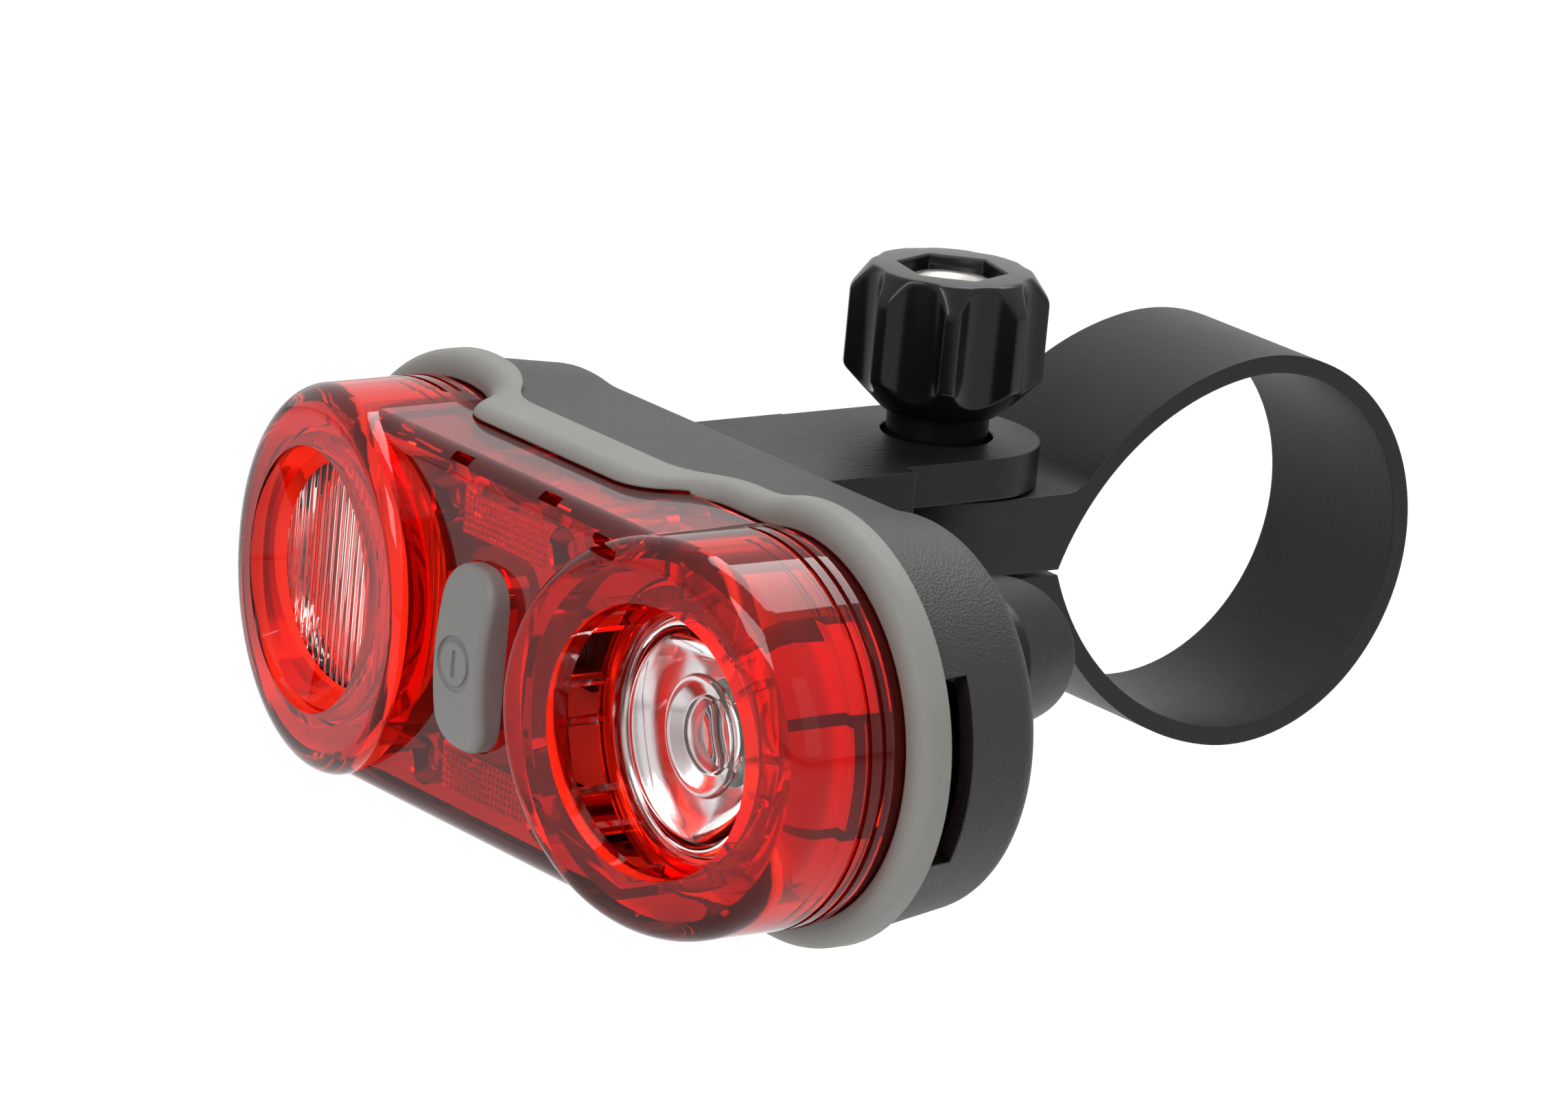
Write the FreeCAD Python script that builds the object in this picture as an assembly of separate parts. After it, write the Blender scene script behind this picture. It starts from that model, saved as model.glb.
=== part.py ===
import FreeCAD, Part
import math
import os

# Bicycle tail light with two round lamps, a grey power button, a grey sealing gasket and a black
# case, on a tilting bracket that a fluted knob fastens to a round seatpost clamp. Millimetres.
# The origin is the centre of the clamp's bore, +X runs along the bore and along the light, the lamps
# look along -Y, and +Z is the axis of the knob. Light pieces are drawn about the light's own centre,
# with y counted back from the middle of the lamp openings, and then moved to their place.

V = FreeCAD.Vector
X_AXIS = V(1, 0, 0)
Y_AXIS = V(0, 1, 0)
Z_AXIS = V(0, 0, 1)

# Seatpost clamp
bore_r = 16.1
band_wall = 1.6
band_width = 17.2
pinch_reach = 21.5
pinch_angle = 100.2
split_gap = 0.5
ear_half = 7.0
ear_blend = 3.6
nut_flats = 8.0
nut_height = 3.8
boss_height = 3.7

# Pivot, screw and knob
pivot_reach = 29.5
bolt_r = 2.5
bolt_below = 12.0
bolt_head_flats = 8.0
bolt_head_height = 3.4
bolt_cap_r = 3.6
bolt_dish_r = 2.6
bolt_dish_depth = 0.5
pivot_boss_r = 4.85
pivot_boss_height = 1.5
washer_height = 0.8
washer_r = 4.4
knob_r = 8.62
knob_top_r = 7.0
knob_neck_r = 4.45
knob_foot_r = 5.2
knob_neck_top = 13.2
knob_skirt_z = 16.4
knob_shoulder_z = 23.4
knob_top_z = 25.6
knob_flutes = 8
knob_flute_r = 3.34
knob_flute_depth = 1.77
knob_phase = 10.0
head_recess = 1.1
hex_phase = 47.5

# Bracket
arm_thickness = 3.65
arm_r = 9.0
arm_root_near = 10.4
arm_root_far = 9.2
block_clear = 1.3
block_depth = 17.1
foot_half = 9.3
foot_height = 2.0
plate_thickness = 2.0
plate_half = 10.9
plate_corner_r = 4.9
plate_far = 26.0
plate_near = 35.1
lug_width = 2.2
lug_height = 3.8
lug_length = 4.4

# Release lever
lever_slope = 39.0
lever_pivot_x = -1.6
lever_barrel_r = 1.3
lever_stub_r = 0.9
lever_half = 4.5
lever_thickness = 2.4
pad_x = 12.4
pad_back_y = 45.2
pad_back_r = 6.47
pad_front_x = 14.06
pad_front_y = 41.0
pad_front_r = 7.09
tooth_x = 1.6
tooth_length = 2.6
tooth_half = 1.9
tooth_bite = 0.6
tooth_room = 1.0

# Light head
light_offset = 14.2
pivot_back = 57.3
lobe_span = 24.16
lens_r = 16.5
waist_drop = 0.6
waist_blend = 12.0
lens_wall = 2.0
lens_depth = 17.0
panel_y = 1.0
panel_edge_r = 2.0
face_tilt = 8.77
shoulder_near_r = 0.8
shoulder_far_r = 4.0
lamp_shift = 0.38
aperture_r = 11.26
tube_wall = 1.4
tube_straight = 1.8
fluted_tube_r = 9.8
fluted_tube_depth = 4.5
step_width = 0.5
step_depth = 0.25
step_lines = (10.2, 11.6)
rim_step = 0.5
rim_start = 12.9
screw_x = 8.5
screw_inset = 0.7
screw_boss_r = 2.1
snap_x = (-6.0, 6.7)
snap_width = 2.6
snap_height = 1.0
snap_angle = 48.0
air_slot_inset = 7.6
air_slot_drop = 2.35
air_slot_width = 5.6
air_slot_height = 0.9
air_slot_back_y = 2.6

# Gasket and case
gasket_wall = 1.9
gasket_waist_wall = 1.2
gasket_edge_r = 1.6
wave_middle = -4.0
wave_in = 9.3
wave_out = 18.0
gasket_front_waist = 8.5
gasket_front_lobe = 14.3
gasket_back_waist = 13.8
gasket_back_lobe = 17.2
case_step = 0.15
case_waist_step = 0.1
case_taper = 2.05
case_waist_taper = 1.1
case_back_y = 28.0
case_wall = 1.7
case_back_edge_r = 2.1
pry_low = -7.6
pry_high = 8.0
pry_width = 3.0
pry_depth = 2.2
rail_far = 24.0
rail_near = 18.0
rail_wall = 1.9
rail_lip = 1.5
rail_lip_thickness = 1.4
hook_x = 3.2
hook_width = 3.4
hook_thickness = 1.2
hook_front_y = 10.4

# Batteries and contacts
cell_r = 5.2
cell_length = 44.4
cell_nub_r = 2.7
cell_nub_length = 1.0
cell_z = 5.6
cell_axis_y = 21.1
bay_wall = 1.4
bay_rim_y = 17.4
bay_rib_x = (-15.0, 0.0, 15.0)
bay_rib_width = 1.2
bay_rib_y = 23.2
contact_sheet = 0.4
contact_half = 3.6
spring_wire_r = 0.25
spring_r = 2.3
spring_turns = 3.0
spring_length = 4.0

# Lamps, board and switch
fluted_lens_r = 12.2
fluted_lens_thickness = 1.8
flute_pitch = 0.95
flute_depth = 0.28
flute_field_r = 10.6
reflector_r = 11.4
reflector_wall = 0.8
reflector_throat_r = 3.2
collimator_r = 9.9
collimator_front_y = 5.0
collimator_flange_r = 11.4
collimator_flange = 1.2
collimator_foot_r = 3.6
collimator_well_r = 2.3
collimator_well_depth = 3.2
collimator_dish_r = 8.6
collimator_dish_depth = 1.3
collimator_ring_r = 4.8
collimator_dome_r = 3.3
cage_outer_r = 12.4
cage_rib_r = 11.3
cage_ring_r = 10.3
cage_ring_y = 4.2
cage_pairs = 8
cage_pair_angle = 8.3
cage_rib_width = 0.6
holder_outer_r = 13.1
holder_wall = 0.9
carrier_y = 12.2
carrier_thickness = 1.4
carrier_drop = 1.9
carrier_margin = 1.2
skirt_margin = 0.2
skirt_wall = 1.0
skirt_front_y = 10.0
skirt_back_y = 14.6
tongue_half = 4.1
tongue_slit = 0.9
lamp_hole_r = 4.4
board_thickness = 1.6
board_margin = 1.6
led_base = 3.5
led_base_height = 0.7
led_dome_r = 1.25
switch_side = 6.0
switch_height = 3.3
plunger_r = 1.6
plunger_height = 0.9
chip_size = (4.9, 3.9, 1.4)
resistor_size = (2.0, 1.2, 0.6)
resistor_x = (-13.5, -10.0, 12.5, 16.0)
screw_head_r = 1.9
screw_head_height = 1.2
screw_shank_r = 0.95
screw_length = 7.0

# Power button
button_width = 7.0
button_height = 15.8
button_x = -0.3
button_front_y = -1.5
button_arch = 1.1
button_corner_r = 2.9
button_edge_r = 0.8
button_flange = 0.9
button_flange_thickness = 1.1
button_stem_r = 1.7
icon_x = -0.5
icon_z = -0.4
icon_r = 2.35
icon_line = 0.5
icon_bar = 2.2
icon_depth = 0.25

# Clearances
fit_gap = 0.05
running_gap = 0.08
loose_gap = 0.1
piece_gap = 0.15
joint_gap = 0.3
overlap = 0.5

# Sizes and places that follow from the ones above
waist_half = lens_r - waist_drop
lamp_span = lobe_span + lamp_shift
rim_r = lens_r - rim_step
rim_waist = waist_half - rim_step
gasket_r = lens_r + gasket_wall
gasket_waist = waist_half + gasket_waist_wall
case_front_r = gasket_r - case_step
case_waist = gasket_waist - case_waist_step
case_back_r = case_front_r - case_taper
case_back_waist = case_waist - case_waist_taper
bay_half = (cell_length + spring_length) / 2.0 + contact_sheet
carrier_half = waist_half - lens_wall - carrier_drop
screw_z = carrier_half - screw_inset
carrier_r = lens_r - lens_wall - carrier_margin
skirt_r = lens_r - lens_wall - skirt_margin
board_r = lens_r - lens_wall - board_margin
shelf_half = ear_half + joint_gap + arm_thickness
pivot = V(0, -pivot_reach, 0)
light_place = V(light_offset, -pivot_reach - pivot_back, 0)
band_half = band_width / 2.0
arm_x = -light_offset
block_back_y = pivot_back - band_half - block_clear
plate_front_y = case_back_y + joint_gap
plate_back_y = plate_front_y + plate_thickness
block_far_x = arm_x - arm_root_far
block_near_x = arm_x + arm_root_near
case_floor_y = case_back_y - case_wall
board_y = carrier_y + carrier_thickness + fit_gap
board_back_y = board_y + board_thickness
tilt_rise = math.tan(math.radians(face_tilt))
thrust_z = ear_half + pivot_boss_height
neck_z = thrust_z + washer_height
head_top_z = knob_top_z - head_recess
head_base_z = head_top_z - bolt_head_height


def box(x0, x1, y0, y1, z0, z1):
    """A block from its lowest and highest corners."""
    return Part.makeBox(x1 - x0, y1 - y0, z1 - z0, V(x0, y0, z0))


def rod(radius, start, length, axis=Y_AXIS):
    """A round bar from a point along an axis."""
    return Part.makeCylinder(radius, length, start, axis)


def tube(outer, inner, start, length, axis=Y_AXIS):
    """A round bar with a round hole through it."""
    hole_start = start - axis * overlap
    return rod(outer, start, length, axis).cut(rod(inner, hole_start, length + 2 * overlap, axis))


def join(shapes):
    """One shape from several that touch or overlap."""
    return shapes[0].multiFuse(shapes[1:]).removeSplitter()


def lathe(points, centre, axis=Y_AXIS, radial=X_AXIS):
    """A turned solid: each point is its distance from the axis and its place along the axis."""
    spots = [centre + radial * r + axis * a for r, a in points]
    outline = Part.makePolygon(spots + [spots[0]])
    return Part.Face(outline).revolve(centre, axis, 360)


def arc_between(centre, radius, first, last):
    """An arc about a centre from one point to another, by its middle."""
    middle = (first + last) * 0.5 - centre
    middle.normalize()
    return Part.Arc(first, centre + middle * radius, last).toShape()


def stadium_wire(span, radius, half, y):
    """A round-ended outline across Y: a lobe at each end, and a waist that may be lower than they are."""
    if radius - half < fit_gap:
        right = Part.Arc(V(span, y, half), V(span + radius, y, 0), V(span, y, -half))
        left = Part.Arc(V(-span, y, -half), V(-span - radius, y, 0), V(-span, y, half))
        low = Part.LineSegment(V(span, y, -half), V(-span, y, -half))
        high = Part.LineSegment(V(-span, y, half), V(span, y, half))
        return Part.Wire([c.toShape() for c in (right, low, left, high)])
    reach = radius + waist_blend
    foot_x = span - math.sqrt(reach ** 2 - (half + waist_blend) ** 2)
    edges = []
    for side in (1, -1):
        lobe = V(side * span, y, 0)
        turns = []
        for level in (side, -side):
            centre = V(side * foot_x, y, level * (half + waist_blend))
            turns.append(lobe + (centre - lobe) * (radius / reach))
            foot = V(side * foot_x, y, level * half)
            edges.append(arc_between(centre, waist_blend, foot, turns[-1]))
        edges.append(Part.Arc(turns[0], lobe + V(side * radius, 0, 0), turns[1]).toShape())
        edges.append(Part.LineSegment(V(-foot_x, y, side * half), V(foot_x, y, side * half)).toShape())
    return Part.Wire(Part.__sortEdges__(edges))


def stadium(span, radius, half, y0, y1):
    """A prism of the round-ended outline."""
    return Part.Face(stadium_wire(span, radius, half, y0)).extrude(V(0, y1 - y0, 0))


def rounded_block(width, height, corner, y0, y1, x=0.0, z=0.0):
    """A block along Y with four rounded corners."""
    half_w = width / 2.0
    half_h = height / 2.0
    block = box(x - half_w, x + half_w, y0, y1, z - half_h, z + half_h)
    edges = [e for e in block.Edges if abs(e.tangentAt(e.FirstParameter).y) > 0.9]
    return block.makeFillet(corner, edges)


def hex_bar(flats, base_z, height, phase):
    """A six-sided bar on the pivot axis."""
    corner_r = flats / math.sqrt(3.0)
    turns = [math.radians(phase + 60.0 * k) for k in range(7)]
    spots = [pivot + V(corner_r * math.cos(t), corner_r * math.sin(t), base_z) for t in turns]
    return Part.Face(Part.makePolygon(spots)).extrude(V(0, 0, height))


def in_place(shape):
    """Moves a piece of the light from the light's own centre to its place on the bicycle part."""
    moved = shape.copy()
    moved.translate(light_place)
    return moved


def save(name, shape):
    """Writes one sub-part and says what it holds."""
    shape.exportStep("parts/" + name + ".step")
    print(name, "solids", len(shape.Solids), "volume", round(shape.Volume, 1), "valid", shape.isValid())


def band_curves(side):
    """Centre and radius of the arc that leads from the round bore to the pinch on one side."""
    turn = math.radians(pinch_angle)
    start = V(0, bore_r * math.cos(turn), side * bore_r * math.sin(turn))
    tip = V(0, -pinch_reach, side * split_gap / 2.0)
    reach = tip - start
    radius = -reach.dot(reach) * bore_r / (2.0 * reach.dot(start))
    centre = start * (1.0 - radius / bore_r)
    return start, tip, centre, radius


def band_half_face(side):
    """One half of the band's outline across X, with its ear."""
    start, tip, centre, radius = band_curves(side)
    far_in = V(0, bore_r, 0)
    far_out = V(0, bore_r + band_wall, 0)
    start_out = start * ((bore_r + band_wall) / bore_r)
    outer_r = radius + band_wall
    blend_z = side * (ear_half + ear_blend)
    rise = blend_z - centre.z
    blend_y = centre.y - math.sqrt((outer_r + ear_blend) ** 2 - rise ** 2)
    blend_centre = V(0, blend_y, blend_z)
    on_arc = centre + (blend_centre - centre) * (outer_r / (outer_r + ear_blend))
    on_ear = V(0, blend_y, side * ear_half)
    ear_end_y = -pivot_reach - band_half - overlap
    ear_top = V(0, ear_end_y, side * ear_half)
    ear_low = V(0, ear_end_y, side * split_gap / 2.0)
    origin = V(0, 0, 0)
    edges = [
        Part.LineSegment(far_out, far_in).toShape(),
        arc_between(origin, bore_r, far_in, start),
        arc_between(centre, radius, start, tip),
        Part.LineSegment(tip, ear_low).toShape(),
        Part.LineSegment(ear_low, ear_top).toShape(),
        Part.LineSegment(ear_top, on_ear).toShape(),
        arc_between(blend_centre, ear_blend, on_ear, on_arc),
        arc_between(centre, outer_r, on_arc, start_out),
        arc_between(origin, bore_r + band_wall, start_out, far_out),
    ]
    return Part.Face(Part.Wire(edges))


def clamp_band():
    """The round band with its two ears, the upper pivot boss and the lower nut boss."""
    halves = [band_half_face(side).extrude(V(band_width, 0, 0)) for side in (1, -1)]
    ring = join(halves)
    ring.translate(V(-band_half, 0, 0))
    tall = 2.0 * (bore_r + band_wall + overlap)
    keep_round = rod(band_half, pivot - Z_AXIS * tall / 2.0, tall, Z_AXIS)
    keep_rest = box(-band_half, band_half, -pivot_reach, tall, -tall / 2.0, tall / 2.0)
    ring = ring.common(keep_round.fuse(keep_rest))
    upper = rod(pivot_boss_r, pivot + Z_AXIS * (ear_half - overlap), pivot_boss_height + overlap, Z_AXIS)
    lower = rod(pivot_boss_r, pivot - Z_AXIS * (ear_half + boss_height), boss_height + overlap, Z_AXIS)
    band = join([ring, upper, lower])
    shank = rod(bolt_r + loose_gap, pivot - Z_AXIS * tall / 2.0, tall, Z_AXIS)
    nut_room = hex_bar(nut_flats + 2 * fit_gap, -ear_half - boss_height - overlap,
                       nut_height + overlap + fit_gap, hex_phase)
    return band.cut(shank).cut(nut_room)


def clamp_nut():
    """The captive hexagon nut in the lower boss."""
    base = -ear_half - boss_height
    body = hex_bar(nut_flats, base, nut_height, hex_phase)
    thread = rod(bolt_r + fit_gap, pivot + Z_AXIS * (base - overlap), nut_height + 2 * overlap, Z_AXIS)
    return body.cut(thread)


def thrust_washer():
    """The flat washer between the knob's neck and the upper boss."""
    return tube(washer_r, bolt_r + loose_gap, pivot + Z_AXIS * thrust_z, washer_height, Z_AXIS)


def clamp_bolt():
    """The hexagon-head bolt that turns with the knob."""
    shank = rod(bolt_r, pivot - Z_AXIS * bolt_below, head_base_z + bolt_below, Z_AXIS)
    head = hex_bar(bolt_head_flats, head_base_z, bolt_head_height, hex_phase)
    corner_r = bolt_head_flats / math.sqrt(3.0)
    cap_r = bolt_cap_r
    cone_height = corner_r * 2.0
    cone_base = pivot + Z_AXIS * (head_top_z - cone_height)
    bevel = Part.makeCone(cap_r + cone_height, cap_r, cone_height, cone_base)
    head = head.common(bevel)
    ball_r = (bolt_dish_r ** 2 + bolt_dish_depth ** 2) / (2.0 * bolt_dish_depth)
    dish = Part.makeSphere(ball_r, pivot + Z_AXIS * (head_top_z - bolt_dish_depth + ball_r))
    return join([shank, head]).cut(dish)


def clamp_knob():
    """The fluted knob with its neck, its hexagon pocket and its bore."""
    profile = [
        (0.0, neck_z), (knob_neck_r, neck_z), (knob_neck_r, knob_neck_top), (knob_foot_r, knob_neck_top),
        (knob_r, knob_skirt_z), (knob_r, knob_shoulder_z), (knob_top_r, knob_top_z), (0.0, knob_top_z),
    ]
    knob = lathe(profile, pivot, Z_AXIS)
    reach = knob_r - knob_flute_depth + knob_flute_r
    for k in range(knob_flutes):
        turn = math.radians(knob_phase + (k + 0.5) * 360.0 / knob_flutes)
        spot = pivot + V(reach * math.cos(turn), reach * math.sin(turn), knob_neck_top + overlap)
        knob = knob.cut(rod(knob_flute_r, spot, knob_top_z - knob_neck_top, Z_AXIS))
    pocket_flats = bolt_head_flats + 2 * loose_gap
    pocket = hex_bar(pocket_flats, head_base_z, knob_top_z - head_base_z + overlap, hex_phase)
    bore_start = pivot + Z_AXIS * (neck_z - overlap)
    bore = rod(bolt_r + loose_gap, bore_start, head_base_z - neck_z + 2 * overlap, Z_AXIS)
    return knob.cut(pocket).cut(bore)


def arm(side):
    """One arm of the yoke, beside an ear of the clamp band."""
    low = min(side * (ear_half + joint_gap), side * shelf_half)
    high = max(side * (ear_half + joint_gap), side * shelf_half)
    straight = box(arm_x - arm_r, arm_x + arm_r, block_back_y - overlap, pivot_back, low, high)
    end = rod(arm_r, V(arm_x, pivot_back, low), arm_thickness, Z_AXIS)
    hole_start = V(arm_x, pivot_back, low - overlap)
    hole = rod(pivot_boss_r + running_gap, hole_start, arm_thickness + 2 * overlap, Z_AXIS)
    return join([straight, end]).cut(hole)


def lever_lug(side):
    """One ear of the bracket that carries the lever's stub pin."""
    inner = lever_half + joint_gap
    low = min(side * inner, side * (inner + lug_width))
    x0 = block_near_x - overlap
    lug = box(x0, x0 + lug_length + overlap, plate_back_y - overlap, plate_back_y + lug_height,
              low, low + lug_width)
    hole_start = lever_pivot() + Z_AXIS * (low - overlap)
    hole = rod(lever_stub_r + fit_gap, hole_start, lug_width + 2 * overlap, Z_AXIS)
    return lug.cut(hole)


def tooth_window(y0, y1):
    """The room that the lever's tooth needs, with space for its swing."""
    far_x = tooth_x + tooth_length + joint_gap + tooth_room
    half = tooth_half + joint_gap
    return box(tooth_x - joint_gap, far_x, y0, y1, -half, half)


def bracket():
    """Slide plate, block and yoke arms, one black moulding."""
    plate_middle = (plate_near - plate_far) / 2.0
    plate = rounded_block(plate_near + plate_far, 2 * plate_half, plate_corner_r,
                          plate_front_y, plate_back_y, plate_middle)
    block_y = plate_back_y + foot_height
    foot = box(block_far_x, block_near_x, plate_back_y - overlap, block_y + overlap, -foot_half, foot_half)
    block = box(block_far_x, block_near_x, block_y, block_back_y, -shelf_half, shelf_half)
    body = join([plate, foot, block, arm(1), arm(-1), lever_lug(1), lever_lug(-1)])
    return body.cut(tooth_window(plate_front_y - overlap, plate_back_y + overlap))


def lever_pivot():
    """The lever's axis, just under the sloping back of its arm."""
    slope = math.radians(lever_slope)
    back_y = pad_back_y - (pad_x - lever_pivot_x) * math.tan(slope)
    return V(lever_pivot_x, back_y - lever_barrel_r / math.cos(slope), 0)


def release_lever():
    """The lever that holds the light on the bracket: barrel, sloping arm, thumb pad and tooth."""
    axis = lever_pivot()
    slope = math.radians(lever_slope)
    along = V(math.cos(slope), math.sin(slope), 0)
    inward = V(math.sin(slope), -math.cos(slope), 0)
    pad_centre = V(pad_x, pad_back_y, 0)
    foot = pad_centre - along * ((pad_x - lever_pivot_x) / math.cos(slope))
    corners = [foot, pad_centre, pad_centre + inward * lever_thickness, foot + inward * lever_thickness]
    corners = [c - Z_AXIS * lever_half for c in corners]
    strip = Part.Face(Part.makePolygon(corners + [corners[0]])).extrude(Z_AXIS * (2 * lever_half))
    barrel = rod(lever_barrel_r, axis - Z_AXIS * lever_half, 2 * lever_half, Z_AXIS)
    stub_half = lever_half + joint_gap + lug_width
    stub = rod(lever_stub_r, axis - Z_AXIS * stub_half, 2 * stub_half, Z_AXIS)
    front = Part.Circle(V(pad_front_x, pad_front_y, 0), Y_AXIS, pad_front_r).toShape()
    back = Part.Circle(pad_centre, inward * -1.0, pad_back_r).toShape()
    pad = Part.makeLoft([Part.Wire([front]), Part.Wire([back])], True, True)
    rise = (tooth_x + tooth_length - lever_pivot_x) * math.tan(slope)
    tooth_top = foot.y + rise - lever_thickness / math.cos(slope) + joint_gap
    tooth = box(tooth_x, tooth_x + tooth_length, case_back_y - tooth_bite, tooth_top,
                -tooth_half, tooth_half)
    return join([strip, barrel, stub, pad, tooth])


def lobe_face(side, sink):
    """All the room in front of one lamp turret's tilted face, sunk by a depth."""
    big = 4.0 * lens_r
    room = Part.makeBox(big, big, big, V(-big / 2.0, -big, -big / 2.0))
    room.rotate(V(0, 0, 0), Z_AXIS, side * face_tilt)
    room.translate(V(side * lamp_span, sink, 0))
    return room


def lobe_front(side, radius, sink):
    """One lamp turret with sharp edges: a round bar with its tilted front face."""
    turret = rod(radius, V(side * lobe_span, -radius, 0), lens_depth + radius, Y_AXIS)
    return turret.cut(lobe_face(side, sink))


def half_turret(side, radius, turn):
    """Half a turret, above or below the middle; its front edge is rounder away from the button."""
    half = Part.makeCylinder(radius, lens_depth + radius, V(0, 0, 0), Z_AXIS, 180)
    half.rotate(V(0, 0, 0), X_AXIS, -90)
    half.rotate(V(0, 0, 0), Y_AXIS, turn)
    half.translate(V(side * lobe_span, -radius, 0))
    half = half.cut(lobe_face(side, 0.0))
    rim = [e for e in half.Edges if e.BoundBox.YMax < lens_depth / 2.0 and e.Length > 2.5 * radius][0]
    starts_near = abs(rim.valueAt(rim.FirstParameter).x) < lobe_span
    first, last = (shoulder_near_r, shoulder_far_r) if starts_near else (shoulder_far_r, shoulder_near_r)
    return half.makeFillet(first, last, [rim])


def lens_outside():
    """The lens cover's outer form: two turrets and the waist between them."""
    waist = box(-lobe_span, lobe_span, panel_y, lens_depth, -waist_half, waist_half)
    long_edges = [e for e in waist.Edges
                  if abs(e.tangentAt(e.FirstParameter).x) > 0.9 and e.BoundBox.YMax < panel_y + overlap]
    waist = waist.makeFillet(panel_edge_r, long_edges)
    turrets = [half_turret(side, lens_r, turn) for side in (1, -1) for turn in (0, 180)]
    return join([waist] + turrets)


def lens_inside():
    """The room inside the lens cover."""
    half = waist_half - lens_wall
    waist = box(-lobe_span, lobe_span, panel_y + lens_wall, lens_depth + overlap, -half, half)
    lobes = [lobe_front(side, lens_r - lens_wall, lens_wall) for side in (1, -1)]
    mouth = stadium(lobe_span, lens_r - lens_wall, half, lens_depth - overlap, lens_depth + overlap)
    return join([waist, mouth] + lobes)


def sleeve(side, depth):
    """The solid sleeve that leads from a lamp opening in to the lens, before it is hollowed."""
    bar = rod(aperture_r + tube_wall, V(side * lamp_span, -lens_r, 0), lens_r + depth)
    return bar.common(lobe_front(side, lens_r, lens_wall / 2.0))


def lamp_hole(side, depth, inner_r):
    """The lamp opening: straight at the face, then narrower down to the lens."""
    start = V(side * lamp_span, -lens_r, 0)
    straight = rod(aperture_r, start, lens_r + tube_straight)
    neck_start = V(side * lamp_span, tube_straight, 0)
    neck = Part.makeCone(aperture_r, inner_r, depth - tube_straight, neck_start, Y_AXIS)
    return join([straight, neck, rod(inner_r, V(side * lamp_span, 0, 0), depth + overlap)])


def snap_window(x):
    """The room of one small window that goes slantwise through the cover's upper front edge."""
    window = box(x - snap_width / 2.0, x + snap_width / 2.0, -2 * panel_edge_r, overlap,
                 -snap_height / 2.0, snap_height / 2.0)
    window.rotate(V(0, 0, 0), X_AXIS, -snap_angle)
    window.translate(V(0, panel_y + panel_edge_r, waist_half - panel_edge_r))
    return window


def air_slot():
    """The room of the round-ended pocket in the shoulder of the right turret."""
    x = lobe_span - air_slot_inset
    z = lens_r - air_slot_drop
    end_r = air_slot_height / 2.0
    reach = air_slot_width / 2.0 - end_r
    parts = [box(x - reach, x + reach, -lens_r, air_slot_back_y, z - end_r, z + end_r)]
    for end_x in (x - reach, x + reach):
        parts.append(rod(end_r, V(end_x, -lens_r, z), lens_r + air_slot_back_y))
    return join(parts)


def lens_cover():
    """The red cover: shell, lamp sleeve, screw bosses, button hole, windows and fine step lines."""
    shell = lens_outside().cut(lens_inside())
    left_sleeve = sleeve(-1, fluted_tube_depth)
    bosses = [rod(screw_boss_r, V(sx * screw_x, panel_y + lens_wall - overlap, sz * screw_z),
                  carrier_y - panel_y - lens_wall + overlap - fit_gap)
              for sx in (-1, 1) for sz in (-1, 1)]
    cover = join([shell, left_sleeve] + bosses)
    cover = cover.cut(lamp_hole(-1, fluted_tube_depth, fluted_tube_r))
    cover = cover.cut(rod(aperture_r, V(lamp_span, -lens_r, 0), lens_r + collimator_front_y))
    for boss_x in (-screw_x, screw_x):
        for boss_z in (-screw_z, screw_z):
            start = V(boss_x, carrier_y - screw_length, boss_z)
            cover = cover.cut(rod(screw_shank_r + fit_gap, start, screw_length + overlap))
    cover = cover.cut(wave_face(gasket_back_waist - joint_gap, gasket_back_lobe - joint_gap, case_back_y))
    hole = rounded_block(button_width + 2 * piece_gap, button_height + 2 * piece_gap,
                         button_corner_r + piece_gap, panel_y - overlap,
                         panel_y + lens_wall + overlap, button_x)
    cover = cover.cut(hole)
    wide = lens_r + overlap
    deep = lens_r - step_depth
    for line_y in step_lines:
        groove = stadium(lobe_span, wide, wide, line_y, line_y + step_width)
        core = stadium(lobe_span, deep, deep, line_y - overlap, line_y + 2 * overlap)
        cover = cover.cut(groove.cut(core))
    band = stadium(lobe_span, wide, wide, rim_start, lens_depth + overlap)
    band = band.cut(stadium(lobe_span, rim_r, rim_waist, rim_start - overlap, lens_depth + 2 * overlap))
    for x in snap_x:
        cover = cover.cut(snap_window(x))
    return cover.cut(band).cut(air_slot())


def wave_face(waist_y, lobe_y, far_y):
    """A region across Z from a wavy line, forward at the waist, back to a straight line."""
    run = wave_out - wave_in
    rise = lobe_y - waist_y
    middle_x = (wave_in + wave_out) / 2.0
    middle_y = (waist_y + lobe_y) / 2.0
    bend_r = (run ** 2 + rise ** 2) / (4.0 * rise)
    end_x = lobe_span + gasket_r + overlap
    big = gasket_r + overlap
    edges = []
    for side in (1, -1):
        low = V(wave_middle + side * wave_in, waist_y, -big)
        mid = V(wave_middle + side * middle_x, middle_y, -big)
        high = V(wave_middle + side * wave_out, lobe_y, -big)
        edges.append(arc_between(V(low.x, waist_y + bend_r, -big), bend_r, low, mid))
        edges.append(arc_between(V(high.x, lobe_y - bend_r, -big), bend_r, mid, high))
        corner = V(side * end_x, lobe_y, -big)
        edges.append(Part.LineSegment(high, corner).toShape())
        edges.append(Part.LineSegment(corner, V(side * end_x, far_y, -big)).toShape())
    edges.append(Part.LineSegment(V(wave_middle - wave_in, waist_y, -big),
                                  V(wave_middle + wave_in, waist_y, -big)).toShape())
    edges.append(Part.LineSegment(V(-end_x, far_y, -big), V(end_x, far_y, -big)).toShape())
    wire = Part.Wire(Part.__sortEdges__(edges))
    return Part.Face(wire).extrude(V(0, 0, 2 * big))


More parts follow.
